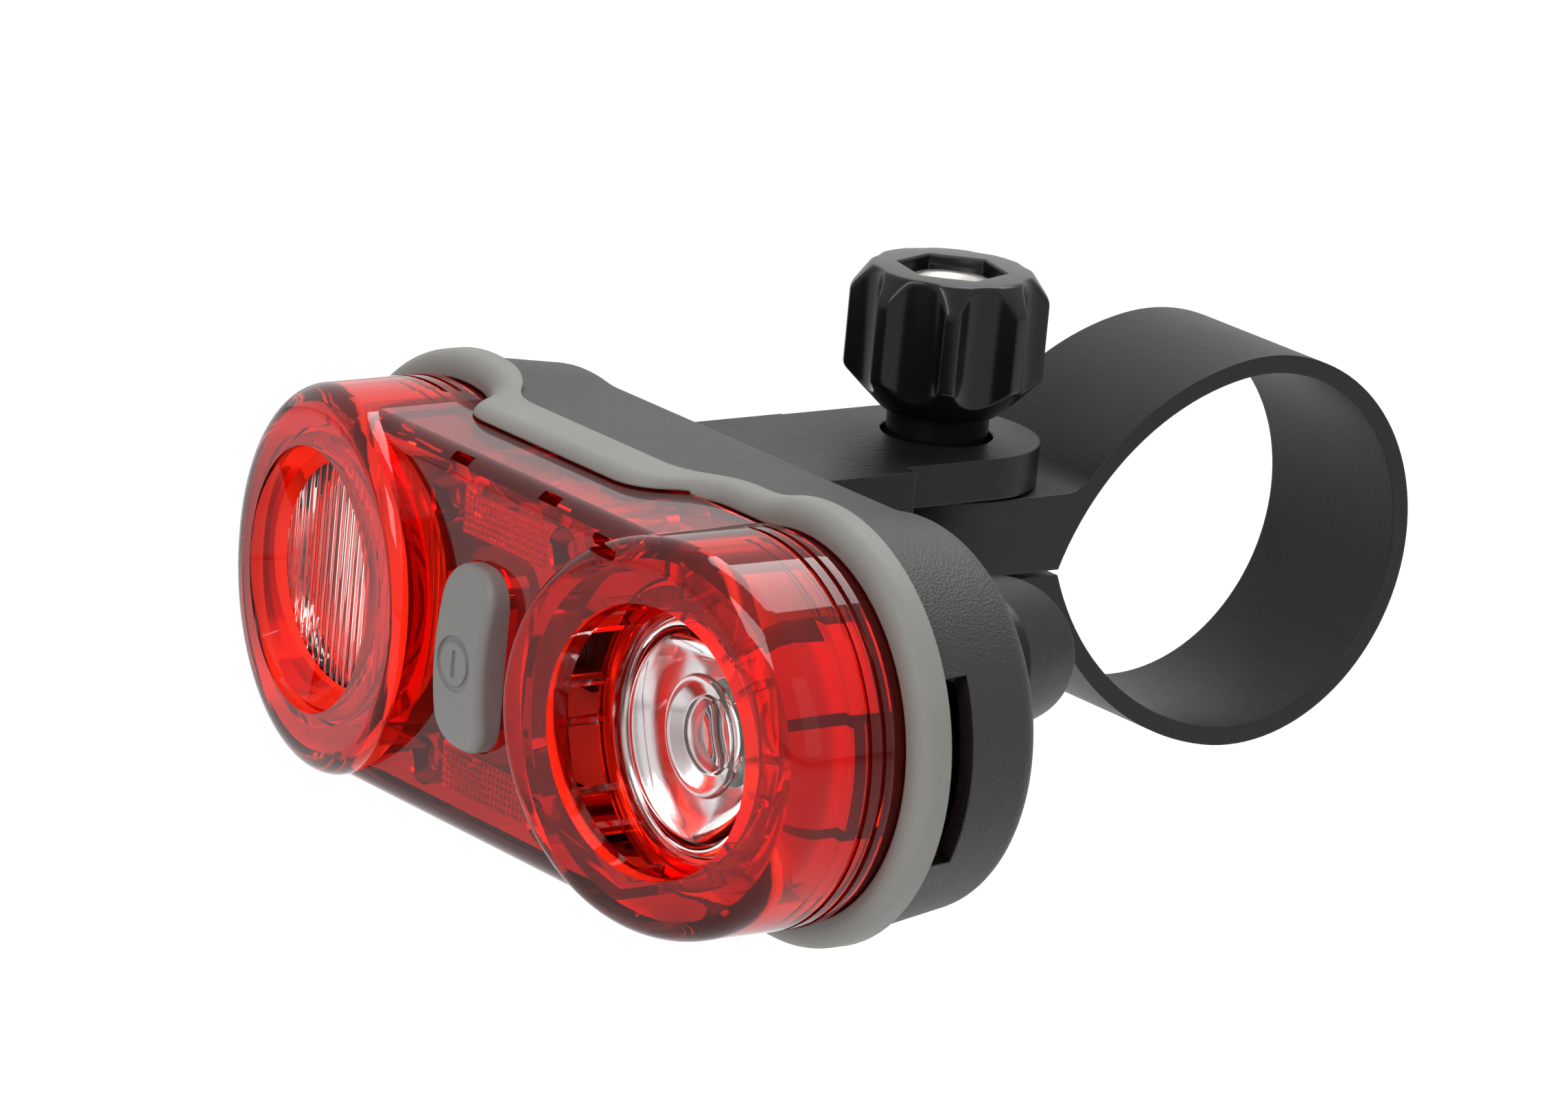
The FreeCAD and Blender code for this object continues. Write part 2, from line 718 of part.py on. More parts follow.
def gasket():
    """The grey rubber seal round the lens cover, wider and further forward at the waist."""
    ring = stadium(lobe_span, gasket_r, gasket_waist, gasket_front_waist - overlap, case_back_y)
    ring = ring.common(wave_face(gasket_front_waist, gasket_front_lobe, case_back_y + overlap))
    front = []
    for e in ring.Edges:
        middle = e.valueAt((e.FirstParameter + e.LastParameter) / 2.0)
        on_rim = abs(middle.z) > gasket_waist - fit_gap or abs(middle.x) > lobe_span + fit_gap
        if on_rim and e.BoundBox.YMax < gasket_front_lobe + fit_gap:
            front.append(e)
    ring = ring.makeFillet(gasket_edge_r, front)
    ring = ring.cut(wave_face(gasket_back_waist, gasket_back_lobe, case_back_y + 2 * overlap))
    ring = ring.cut(stadium(lobe_span, lens_r + piece_gap, waist_half + piece_gap, -lens_r, rim_start))
    return ring.cut(stadium(lobe_span, rim_r + piece_gap, rim_waist + piece_gap, 0, case_back_y))


def case_shell():
    """The rear case's outer wall and floor, round-ended and narrower at the back."""
    front_y = gasket_back_waist
    forms = []
    for wall, back_y in ((0.0, case_back_y), (case_wall, case_floor_y)):
        front = stadium_wire(lobe_span, case_front_r - wall, case_waist - wall, front_y)
        back = stadium_wire(lobe_span, case_back_r - wall, case_back_waist - wall, back_y)
        forms.append(Part.makeLoft([front, back], True, True))
    outer, inner = forms
    rim = [e for e in outer.Edges if e.BoundBox.YMin > case_back_y - fit_gap]
    outer = outer.makeFillet(case_back_edge_r, rim)
    shell = outer.cut(inner)
    return shell.common(wave_face(gasket_back_waist, gasket_back_lobe, case_back_y + overlap))


def rail(side):
    """One L-shaped rail on the back of the case that holds an edge of the bracket's plate."""
    inner = plate_half + piece_gap
    top_y = plate_back_y + piece_gap + rail_lip_thickness
    lip_z = inner - rail_lip
    wall_low = min(side * inner, side * (inner + rail_wall))
    lip_low = min(side * lip_z, side * inner)
    wall = box(-rail_far, rail_near, case_back_y - overlap, top_y, wall_low, wall_low + rail_wall)
    lip = box(-rail_far, rail_near, plate_back_y + piece_gap, top_y, lip_low, lip_low + rail_lip)
    return join([wall, lip])


def rear_case():
    """The black case: shell, rails, battery bay, snap hooks, pry slot and latch pocket."""
    pieces = [case_shell(), rail(1), rail(-1)]
    for side in (1, -1):
        low = min(side * bay_half, side * (bay_half + bay_wall))
        wall_z = 2 * cell_r
        pieces.append(box(low, low + bay_wall, bay_rim_y, case_floor_y + overlap, -wall_z, wall_z))
        hook_z = waist_half - lens_wall - joint_gap
        for hx in (-hook_x, hook_x):
            low_z = min(side * hook_z, side * (hook_z - hook_thickness))
            pieces.append(box(hx - hook_width / 2.0, hx + hook_width / 2.0, hook_front_y,
                              case_floor_y + overlap, low_z, low_z + hook_thickness))
    ribs = [box(x - bay_rib_width / 2.0, x + bay_rib_width / 2.0, bay_rib_y, case_floor_y + overlap,
                -2 * cell_r, 2 * cell_r) for x in bay_rib_x]
    cells = [rod(cell_r + fit_gap, V(-bay_half, cell_axis_y, z), 2 * bay_half, X_AXIS)
             for z in (-cell_z, cell_z)]
    for cell in cells:
        ribs = [rib.cut(cell) for rib in ribs]
    case = join(pieces + ribs)
    pry_x = lobe_span + case_front_r
    pry = box(pry_x - 2 * pry_depth, pry_x + overlap, gasket_back_lobe - overlap,
              gasket_back_lobe + pry_width, pry_low, pry_high)
    pocket = tooth_window(case_back_y - tooth_bite - joint_gap, case_back_y + overlap)
    return case.cut(pry).cut(pocket)


def battery(side):
    """One cell with its raised positive end, which points along +X on the upper one."""
    body_end = cell_length - cell_nub_length
    profile = [(0.0, 0.0), (cell_r, 0.0), (cell_r, body_end), (cell_nub_r, body_end),
               (cell_nub_r, cell_length), (0.0, cell_length)]
    tip_x = bay_half - contact_sheet
    start = V(side * (tip_x - cell_length), cell_axis_y, side * cell_z)
    return lathe(profile, start, X_AXIS * side, Y_AXIS)


def contact_plates():
    """Nickel sheets on the end walls: one that joins both cells, and two single ones."""
    y0 = cell_axis_y - contact_half
    y1 = cell_axis_y + contact_half
    single = [box(-bay_half, -bay_half + contact_sheet, y0, y1, z - contact_half, z + contact_half)
              for z in (-cell_z, cell_z)]
    both = box(bay_half - contact_sheet, bay_half, y0, y1, -cell_z - contact_half, cell_z + contact_half)
    return Part.makeCompound(single + [both])


def contact_springs():
    """The two coil springs that press on the flat ends of the cells."""
    travel = spring_length - 2 * spring_wire_r
    coils = []
    for side in (1, -1):
        path = Part.makeHelix(travel / spring_turns, travel, spring_r)
        start = path.Edges[0].valueAt(path.Edges[0].FirstParameter)
        ring = Part.Wire([Part.Circle(start, Y_AXIS, spring_wire_r).toShape()])
        coil = Part.Wire(path.Edges).makePipeShell([ring], True, False)
        coil.rotate(V(0, 0, 0), Y_AXIS, 90)
        first = -bay_half + contact_sheet + spring_wire_r
        coil.translate(V(first, cell_axis_y, cell_z))
        if side < 0:
            coil.rotate(V(0, cell_axis_y, 0), Y_AXIS, 180)
        coils.append(coil)
    return Part.makeCompound(coils)


def fluted_lens():
    """The clear lens with upright flutes, behind the opening of the left lamp."""
    centre = V(-lamp_span, fluted_tube_depth + fit_gap, 0)
    disc = rod(fluted_lens_r, centre, fluted_lens_thickness)
    groove_r = ((flute_pitch / 2.0) ** 2 + flute_depth ** 2) / (2.0 * flute_depth)
    count = int(flute_field_r / flute_pitch)
    grooves = []
    for k in range(-count, count + 1):
        x = k * flute_pitch
        half = math.sqrt(flute_field_r ** 2 - x ** 2)
        start = centre + V(x, flute_depth - groove_r, -half)
        grooves.append(rod(groove_r, start, 2 * half, Z_AXIS))
    return disc.cut(grooves)


def reflector():
    """The bright cup behind the fluted lens."""
    front = fluted_tube_depth + fluted_lens_thickness + 2 * fit_gap
    back = carrier_y - fit_gap
    profile = [(reflector_r, front), (reflector_r, front + reflector_wall),
               (reflector_throat_r + reflector_wall, back), (reflector_throat_r, back),
               (reflector_r - reflector_wall, front)]
    return lathe(profile, V(-lamp_span, 0, 0))


def collimator_lens():
    """The clear collimator: dished front with a ring and a dome, cone sides and a well for the diode."""
    front = collimator_front_y
    back = carrier_y - fit_gap
    dish = front + collimator_dish_depth
    body = [
        (0.0, dish),
        (collimator_dome_r, dish),
        (collimator_ring_r, dish - collimator_dish_depth / 2.0),
        (collimator_dish_r, front + loose_gap),
        (collimator_dish_r + loose_gap, front),
        (collimator_r, front),
        (collimator_r, front + loose_gap),
        (collimator_flange_r, front + loose_gap),
        (collimator_flange_r, front + collimator_flange),
        (collimator_r, front + collimator_flange),
        (collimator_foot_r, back),
        (collimator_well_r, back),
        (collimator_well_r, back - collimator_well_depth),
        (0.0, back - collimator_well_depth),
    ]
    centre = V(lamp_span, 0, 0)
    lens = lathe(body, centre)
    dome_rise = collimator_dish_depth
    dome_ball = (collimator_dome_r ** 2 + dome_rise ** 2) / (2.0 * dome_rise)
    ball = Part.makeSphere(dome_ball, centre + Y_AXIS * (dish - dome_rise + dome_ball))
    cap_start = centre + Y_AXIS * (dish - 2 * dome_rise)
    cap = ball.common(rod(collimator_dome_r, cap_start, 2 * dome_rise + fit_gap))
    return join([lens, cap])


def lamp_cage():
    """The ribs behind the right opening, and the ring at their ends that holds the collimator."""
    centre = V(lamp_span, cage_ring_y, 0)
    parts = [tube(cage_outer_r, cage_ring_r, centre, collimator_front_y - cage_ring_y)]
    for k in range(cage_pairs):
        for side in (-1, 1):
            rib = box(cage_rib_r, cage_outer_r, 0, cage_ring_y + fit_gap, -cage_rib_width / 2.0,
                      cage_rib_width / 2.0)
            rib.rotate(V(0, 0, 0), Y_AXIS, k * 360.0 / cage_pairs + side * cage_pair_angle)
            rib.translate(V(lamp_span, 0, 0))
            parts.append(rib)
    return join(parts).common(lens_inside())


def carrier_skirt(side):
    """The rim at one end of the inner frame, with a snap tongue between two slits."""
    centre = V(side * lobe_span, skirt_front_y, 0)
    rim = tube(skirt_r, skirt_r - skirt_wall, centre, skirt_back_y - skirt_front_y)
    floor = tube(skirt_r, carrier_r - overlap, V(centre.x, carrier_y, 0), carrier_thickness)
    end_x = lobe_span + skirt_r + overlap
    low_x = min(side * lobe_span, side * end_x)
    high_x = max(side * lobe_span, side * end_x)
    end = box(low_x, high_x, skirt_front_y, skirt_back_y, -skirt_r, skirt_r)
    rim = join([rim, floor]).common(end)
    for low in (tongue_half, -tongue_half - tongue_slit):
        rim = rim.cut(box(low_x, high_x, skirt_front_y - overlap, carrier_y - fit_gap,
                          low, low + tongue_slit))
    return rim


def carrier():
    """The inner frame: a plate with a round holder for each lamp."""
    plate_back = carrier_y + carrier_thickness
    plate = stadium(lobe_span, carrier_r, carrier_half, carrier_y, plate_back)
    parts = [plate]
    starts = {-1: fluted_tube_depth + fluted_lens_thickness + 2 * fit_gap, 1: collimator_front_y}
    for side, y0 in starts.items():
        parts.append(tube(holder_outer_r, holder_outer_r - holder_wall, V(side * lamp_span, y0, 0),
                          carrier_y - y0 + overlap))
        parts.append(carrier_skirt(side))
    frame = join(parts)
    for side in starts:
        start = V(side * lamp_span, carrier_y - overlap, 0)
        frame = frame.cut(rod(lamp_hole_r, start, carrier_thickness + 2 * overlap))
    half = switch_side / 2.0 + piece_gap
    frame = frame.cut(box(-half, half, carrier_y - overlap, plate_back + overlap, -half, half))
    for sx in (-1, 1):
        for sz in (-1, 1):
            start = V(sx * screw_x, carrier_y - overlap, sz * screw_z)
            frame = frame.cut(rod(screw_shank_r + fit_gap, start, carrier_thickness + 2 * overlap))
    return frame.common(lens_inside())


def circuit_board():
    """The board behind the carrier."""
    board = stadium(lobe_span, board_r, carrier_half, board_y, board_back_y)
    for sx in (-1, 1):
        for sz in (-1, 1):
            start = V(sx * screw_x, board_y - overlap, sz * screw_z)
            board = board.cut(rod(screw_shank_r + fit_gap, start, board_thickness + 2 * overlap))
    return board


def led(side):
    """A light-emitting diode on the board: square base and round dome."""
    x = side * lamp_span
    half = led_base / 2.0
    base = box(x - half, x + half, board_y - led_base_height, board_y, -half, half)
    dome = Part.makeSphere(led_dome_r, V(x, board_y - led_base_height, 0))
    return join([base, dome.cut(box(x - half, x + half, board_y - fit_gap, board_y + half, -half, half))])


def switch_body():
    """The small push switch on the board, behind the button."""
    half = switch_side / 2.0
    y0 = board_y - switch_height
    body = box(-half, half, y0, board_y, -half, half)
    return body.cut(rod(plunger_r + fit_gap, V(0, y0 - overlap, 0), switch_height / 2.0 + overlap))


def switch_plunger():
    """The moving pin of the switch."""
    y0 = board_y - switch_height - plunger_height
    return rod(plunger_r, V(0, y0, 0), plunger_height + loose_gap * 4)


def board_chips():
    """The driver chip and the small resistors on the back of the board."""
    width, height, depth = chip_size
    y0 = board_back_y
    chips = [box(-width / 2.0, width / 2.0, y0, y0 + depth, -height / 2.0, height / 2.0)]
    width, height, depth = resistor_size
    for x in resistor_x:
        chips.append(box(x - width / 2.0, x + width / 2.0, y0, y0 + depth, -height / 2.0, height / 2.0))
    return Part.makeCompound(chips)


def carrier_screws():
    """Four small screws through the board and the carrier in to the cover's bosses."""
    screws = []
    for sx in (-1, 1):
        for sz in (-1, 1):
            spot = V(sx * screw_x, board_back_y, sz * screw_z)
            head = rod(screw_head_r, spot, screw_head_height)
            length = board_back_y - carrier_y + screw_length - overlap
            shank = rod(screw_shank_r, spot - Y_AXIS * length, length + fit_gap)
            slot = box(spot.x - screw_head_r, spot.x + screw_head_r, spot.y + screw_head_height / 2.0,
                       spot.y + 2 * screw_head_height, spot.z - loose_gap * 2, spot.z + loose_gap * 2)
            screws.append(join([head, shank]).cut(slot))
    return Part.makeCompound(screws)


def power_button():
    """The rubber button with its flange, its stem and a plain round on-off sign."""
    cap_back = panel_y + lens_wall + piece_gap
    cap = rounded_block(button_width, button_height, button_corner_r, button_front_y, cap_back + overlap,
                        button_x)
    half_height = button_height / 2.0
    arch_r = (half_height ** 2 + button_arch ** 2) / (2.0 * button_arch)
    arch = rod(arch_r, V(button_x - button_width, button_front_y + arch_r, 0), 2 * button_width, X_AXIS)
    cap = cap.common(arch)
    front_end = button_front_y + button_arch + button_edge_r
    rim = [e for e in cap.Edges if e.BoundBox.YMax < front_end]
    cap = cap.makeFillet(button_edge_r, rim)
    flange = rounded_block(button_width + 2 * button_flange, button_height + 2 * button_flange,
                           button_corner_r, cap_back, cap_back + button_flange_thickness, button_x)
    stem_end = board_y - switch_height - plunger_height - fit_gap
    stem = rod(button_stem_r, V(0, cap_back, 0), stem_end - cap_back)
    button = join([cap, flange, stem])
    sign = V(icon_x, button_front_y - overlap, icon_z)
    ring = tube(icon_r, icon_r - icon_line, sign, icon_depth + overlap)
    half = icon_line / 2.0
    bar = box(icon_x - half, icon_x + half, button_front_y - overlap, button_front_y + icon_depth,
              icon_z - icon_bar / 2.0, icon_z + icon_bar / 2.0)
    return button.cut(ring).cut(bar)


def main():
    os.makedirs("parts", exist_ok=True)
    clamp = {
        "clamp_band": clamp_band, "clamp_nut": clamp_nut, "thrust_washer": thrust_washer,
        "clamp_bolt": clamp_bolt, "clamp_knob": clamp_knob,
    }
    for name, make in clamp.items():
        save(name, make())
    light = {
        "bracket": bracket, "release_lever": release_lever, "rear_case": rear_case, "gasket": gasket,
        "contact_plates": contact_plates, "contact_springs": contact_springs,
        "lens_cover": lens_cover, "fluted_lens": fluted_lens, "reflector": reflector,
        "collimator_lens": collimator_lens, "lamp_cage": lamp_cage, "carrier": carrier,
        "circuit_board": circuit_board, "switch_body": switch_body, "switch_plunger": switch_plunger,
        "board_chips": board_chips, "carrier_screws": carrier_screws, "power_button": power_button,
    }
    for name, make in light.items():
        save(name, in_place(make()))
    for side, cell_name, led_name in ((1, "battery_upper", "led_right"), (-1, "battery_lower", "led_left")):
        save(cell_name, in_place(battery(side)))
        save(led_name, in_place(led(side)))


main()
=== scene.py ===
# %% [markdown]
# The object is a bicycle tail light: a wide red lens with two round lamps and a grey push button, a
# grey rubber seal, a black case, and a bracket that a fluted knob fastens to a round seatpost clamp.
# The solids come from CAD, in metres, with the origin at the centre of the clamp's bore. This first
# step loads them.

# %% Load the solids
import math
import bmesh
import bpy
from mathutils import Matrix, Vector


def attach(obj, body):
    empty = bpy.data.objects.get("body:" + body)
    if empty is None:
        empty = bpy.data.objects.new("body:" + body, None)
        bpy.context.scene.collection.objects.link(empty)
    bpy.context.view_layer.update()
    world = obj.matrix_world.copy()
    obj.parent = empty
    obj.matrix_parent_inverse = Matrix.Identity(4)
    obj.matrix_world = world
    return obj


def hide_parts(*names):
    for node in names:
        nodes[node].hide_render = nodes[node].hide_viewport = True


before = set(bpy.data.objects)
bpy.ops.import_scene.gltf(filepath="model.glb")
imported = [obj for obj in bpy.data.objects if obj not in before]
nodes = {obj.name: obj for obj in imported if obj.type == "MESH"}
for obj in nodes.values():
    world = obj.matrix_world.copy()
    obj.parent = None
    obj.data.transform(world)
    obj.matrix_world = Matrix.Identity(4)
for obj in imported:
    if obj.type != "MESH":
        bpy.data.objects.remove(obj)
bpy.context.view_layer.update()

# %% [markdown]
# Sizes are written in millimetres, as on a drawing, and become metres where a point or a material
# needs them. A few places drive the rest: the knob's upright axis, the middle between the two lamp
# openings, and how far the axis of each lamp and of each round end of the lens lies from that middle.

# %% Places that finishes and pieces share
MM = 0.001
PIVOT = Vector((0.0, -0.0295, 0.0))
LIGHT = Vector((0.0142, -0.0868, 0.0))
LAMP_SPAN = 24.54
TURRET_SPAN = 24.16
print("knob axis", tuple(PIVOT), "light", tuple(LIGHT), "lamps", LAMP_SPAN, "mm either side")

# %% [markdown]
# The photograph was taken with a long lens from the front right, a little above the light, and the
# camera was turned by a few degrees. The numbers below come from fitting the clamp's bore, the two
# lamp openings and the knob to the picture. A camera is a turned object: its X axis points right in
# the image, its Y axis up, and its Z axis back from the object to the lens.

# %% Camera
CAMERA_PLACE = Vector((0.64608, -0.54208, 0.22353))
CAMERA_TURN = math.radians(52.41)
CAMERA_RISE = math.radians(15.261)
CAMERA_ROLL = math.radians(5.386)
FOCAL_PIXELS = 14404.8
PHOTO_WIDTH = 2285.0
SENSOR_WIDTH = 36.0
NEAREST_SEEN = 0.01


def camera_axes(turn, rise, roll):
    """Right, up and back of a camera that looks at the object from a turn and a rise."""
    level = Vector((math.cos(turn), math.sin(turn), 0.0))
    back = Vector((math.sin(turn) * math.cos(rise), -math.cos(turn) * math.cos(rise), math.sin(rise)))
    upright = back.cross(level)
    right = math.cos(roll) * level + math.sin(roll) * upright
    up = -math.sin(roll) * level + math.cos(roll) * upright
    return right, up, back


def add_camera():
    """A camera that stands and looks as the photograph's did."""
    data = bpy.data.cameras.new("photo_camera")
    data.sensor_fit = "HORIZONTAL"
    data.sensor_width = SENSOR_WIDTH
    data.lens = SENSOR_WIDTH * FOCAL_PIXELS / PHOTO_WIDTH
    data.clip_start = NEAREST_SEEN
    camera = bpy.data.objects.new("photo_camera", data)
    bpy.context.scene.collection.objects.link(camera)
    right, up, back = camera_axes(CAMERA_TURN, CAMERA_RISE, CAMERA_ROLL)
    turned = Matrix((right, up, back)).transposed().to_4x4()
    camera.matrix_world = Matrix.Translation(CAMERA_PLACE) @ turned
    bpy.context.scene.camera = camera
    return camera


camera = add_camera()
print("lens", round(camera.data.lens, 2), "mm at", tuple(round(v, 4) for v in CAMERA_PLACE))

# %% [markdown]
# A material is a tree of nodes joined by links, and a few small helpers keep the building of trees
# short. One of them makes a Mix node: such a node has sockets for each kind of data under the same
# names, so its colour sockets are picked by number.

# %% Helpers for trees of nodes
MIX_FIRST = 6
MIX_SECOND = 7
MIX_RESULT = 2


def feed(tree, socket, value):
    """Gives a socket another node's output, a colour or a plain value."""
    if isinstance(value, bpy.types.NodeSocket):
        tree.links.new(value, socket)
    elif isinstance(value, tuple):
        socket.default_value = (*value, 1.0)
    else:
        socket.default_value = value


def add(tree, kind, **values):
    """A node with its properties set; inputs are set by their names."""
    node = tree.nodes.new(kind)
    for key, value in values.items():
        if key in node.bl_rna.properties:
            setattr(node, key, value)
        else:
            node.inputs[key.replace("_", " ")].default_value = value
    return node


def math_node(tree, operation, a, b=0.0):
    """A Math node of one or two sockets or numbers; returns its output."""
    node = add(tree, "ShaderNodeMath", operation=operation)
    feed(tree, node.inputs[0], a)
    feed(tree, node.inputs[1], b)
    return node.outputs[0]


def mix_colours(tree, share, first, second):
    """The colour a share of the way from a first to a second one, each a colour or a socket."""
    node = add(tree, "ShaderNodeMix", data_type="RGBA")
    feed(tree, node.inputs["Factor"], share)
    feed(tree, node.inputs[MIX_FIRST], first)
    feed(tree, node.inputs[MIX_SECOND], second)
    return node.outputs[MIX_RESULT]


def new_group(name, inputs, outputs, kind="ShaderNodeTree"):
    """An empty group of nodes with named sockets, and the nodes at both its ends."""
    group = bpy.data.node_groups.new(name, kind)
    for label, kind, value in inputs:
        socket = group.interface.new_socket(name=label, in_out="INPUT", socket_type=kind)
        socket.default_value = value
    for label, kind in outputs:
        group.interface.new_socket(name=label, in_out="OUTPUT", socket_type=kind)
    return group, group.nodes.new("NodeGroupInput"), group.nodes.new("NodeGroupOutput")


print("helpers for trees of nodes")

# %% [markdown]
# Small effects are shared by many finishes: the fine grain of moulded plastic, the way its shine
# changes from place to place, and the soft edge that every real moulding has. Each is built once as
# a shader node group with named inputs, and then placed in each material with its own values. The
# grain comes first. A photograph of a surface could give it, but noise needs no picture and has no
# seams: fine noise and small cells make the height, and broad noise makes the tone.

# %% Grain of a moulded surface
def build_grain():
    """Fine uneven bumps, as a spark-eroded mould leaves them; scale is in bumps per metre."""
    group, start, end = new_group(
        "moulded_grain",
        [("Scale", "NodeSocketFloat", 2500.0), ("Mottle", "NodeSocketFloat", 120.0)],
        [("Height", "NodeSocketFloat"), ("Tone", "NodeSocketFloat")])
    place = group.nodes.new("ShaderNodeTexCoord")
    fine = add(group, "ShaderNodeTexNoise", Detail=3.0, Roughness=0.6)
    cells = add(group, "ShaderNodeTexVoronoi")
    broad = add(group, "ShaderNodeTexNoise", Detail=4.0, Roughness=0.55)
    for node, scale in ((fine, "Scale"), (cells, "Scale"), (broad, "Mottle")):
        group.links.new(place.outputs["Object"], node.inputs["Vector"])
        group.links.new(start.outputs[scale], node.inputs["Scale"])
    mixed = math_node(group, "ADD", fine.outputs["Fac"], cells.outputs["Distance"])
    group.links.new(math_node(group, "MULTIPLY", mixed, 0.5), end.inputs["Height"])
    group.links.new(broad.outputs["Fac"], end.inputs["Tone"])
    return group


grain_group = build_grain()
print("group", grain_group.name, len(grain_group.nodes), "nodes")

# %% [markdown]
# No moulding shines evenly: hands and cloths leave it a little smoother here and there. One number for
# the roughness would look like a drawing, so stretched noise moves it up and down by a drift.

# %% Uneven shine
def build_shine():
    """Roughness that drifts a little over the surface, with faint smears from handling."""
    group, start, end = new_group(
        "handled_shine",
        [("Roughness", "NodeSocketFloat", 0.4), ("Drift", "NodeSocketFloat", 0.08),
         ("Scale", "NodeSocketFloat", 90.0)],
        [("Roughness", "NodeSocketFloat")])
    place = group.nodes.new("ShaderNodeTexCoord")
    stretch = add(group, "ShaderNodeMapping", Scale=(1.0, 1.0, 2.6))
    noise = add(group, "ShaderNodeTexNoise", Detail=5.0, Roughness=0.6, Distortion=0.4)
    group.links.new(place.outputs["Object"], stretch.inputs["Vector"])
    group.links.new(stretch.outputs["Vector"], noise.inputs["Vector"])
    group.links.new(start.outputs["Scale"], noise.inputs["Scale"])
    centred = math_node(group, "SUBTRACT", noise.outputs["Fac"], 0.5)
    drift = math_node(group, "MULTIPLY", centred, start.outputs["Drift"])
    total = math_node(group, "ADD", start.outputs["Roughness"], drift)
    group.links.new(total, end.inputs["Roughness"])
    return group


shine_group = build_shine()
print("group", shine_group.name, len(shine_group.nodes), "nodes")

# %% [markdown]
# A solid from CAD has edges with no width, and real ones catch the light. A Bevel modifier would change
# the solid, so the shader rounds the normals near an edge instead. Where the rounded normal leaves
# the plain one there is an edge, and that difference is the mask.

# %% Soft edges
def build_edge():
    """A normal that rounds sharp edges, and a mask that is bright along them."""
    group, start, end = new_group(
        "soft_edge",
        [("Radius", "NodeSocketFloat", 0.0003), ("Gain", "NodeSocketFloat", 3.0)],
        [("Normal", "NodeSocketVector"), ("Edge", "NodeSocketFloat")])
    bevel = add(group, "ShaderNodeBevel", samples=6)
    flat = group.nodes.new("ShaderNodeNewGeometry")
    dot = add(group, "ShaderNodeVectorMath", operation="DOT_PRODUCT")
    group.links.new(start.outputs["Radius"], bevel.inputs["Radius"])
    group.links.new(bevel.outputs["Normal"], dot.inputs[0])
    group.links.new(flat.outputs["Normal"], dot.inputs[1])
    away = math_node(group, "SUBTRACT", 1.0, dot.outputs["Value"])
    edge = math_node(group, "MULTIPLY", away, start.outputs["Gain"])
    group.links.new(bevel.outputs["Normal"], end.inputs["Normal"])
    group.links.new(math_node(group, "MINIMUM", edge, 1.0), end.inputs["Edge"])
    return group


edge_group = build_edge()
print("group", edge_group.name, len(edge_group.nodes), "nodes")

# %% [markdown]
# Every finish is wired alike, so one helper does it. Others find a place on the object, make a share
# that changes along a span, and lay a second colour over the first.

# %% Helpers for finishes
def use_group(tree, group, **values):
    """Places a shader group in a material with its own values."""
    return add(tree, "ShaderNodeGroup", node_tree=group, **values)


def new_material(name):
    """An empty material with one Principled shader."""
    material = bpy.data.materials.new(name)
    material.use_nodes = True
    return material, material.node_tree, material.node_tree.nodes["Principled BSDF"]


def wire_shader(tree, shader, colour, shine, grain, bump, bump_height, edge=None):
    """Feeds a shader its colour, its roughness, and the grain's bump over the soft edges."""
    lift = add(tree, "ShaderNodeBump", Strength=bump, Distance=bump_height * MM)
    feed(tree, lift.inputs["Height"], grain.outputs["Height"])
    if edge:
        feed(tree, lift.inputs["Normal"], edge.outputs["Normal"])
    feed(tree, shader.inputs["Base Color"], colour)
    feed(tree, shader.inputs["Roughness"], shine.outputs["Roughness"])
    feed(tree, shader.inputs["Normal"], lift.outputs["Normal"])


def object_place(tree):
    """The outputs X, Y and Z of a spot on the object, in metres."""
    place = tree.nodes.new("ShaderNodeTexCoord")
    split = tree.nodes.new("ShaderNodeSeparateXYZ")
    feed(tree, split.inputs[0], place.outputs["Object"])
    return split.outputs


def ramp(tree, value, span, shares):
    """A share that changes from a first to a second one along a span, which is in millimetres."""
    node = add(tree, "ShaderNodeMapRange", From_Min=span[0] * MM, From_Max=span[1] * MM,
               To_Min=shares[0], To_Max=shares[1])
    feed(tree, node.inputs["Value"], value)
    return node.outputs["Result"]


def colour_over(material, share, colour):
    """Lays a colour over a material's own by a share that changes over the surface."""
    tree = material.node_tree
    base = tree.nodes["Principled BSDF"].inputs["Base Color"]
    own = base.links[0].from_socket
    feed(tree, base, mix_colours(tree, share, own, colour))


print("helpers for finishes")

# %% [markdown]
# Most of the object is black moulded plastic in four finishes. The case has a fine grain, the
# bracket and the clamp are smoother, and the knob is glossy. One function makes them all: it places
# the three groups, mixes two close colours by the grain's tone, and lightens the edges a little,
# because worn black plastic goes grey there first.

# %% Moulded plastics
PLASTIC_BUMP = 0.1


def moulded(name, dark, light, rough, drift, bump, scale, edge_radius, edge_tint, specular=0.5):
    """A moulded plastic between two close colours, with drifting shine and soft, paler edges."""
    material, tree, shader = new_material(name)
    grain = use_group(tree, grain_group, Scale=scale)
    shine = use_group(tree, shine_group, Roughness=rough, Drift=drift)
    edge = use_group(tree, edge_group, Radius=edge_radius * MM)
    base = mix_colours(tree, grain.outputs["Tone"], dark, light)
    worn = mix_colours(tree, edge.outputs["Edge"], base, edge_tint)
    wire_shader(tree, shader, worn, shine, grain, bump, PLASTIC_BUMP, edge)
    shader.inputs["Specular IOR Level"].default_value = specular
    return material


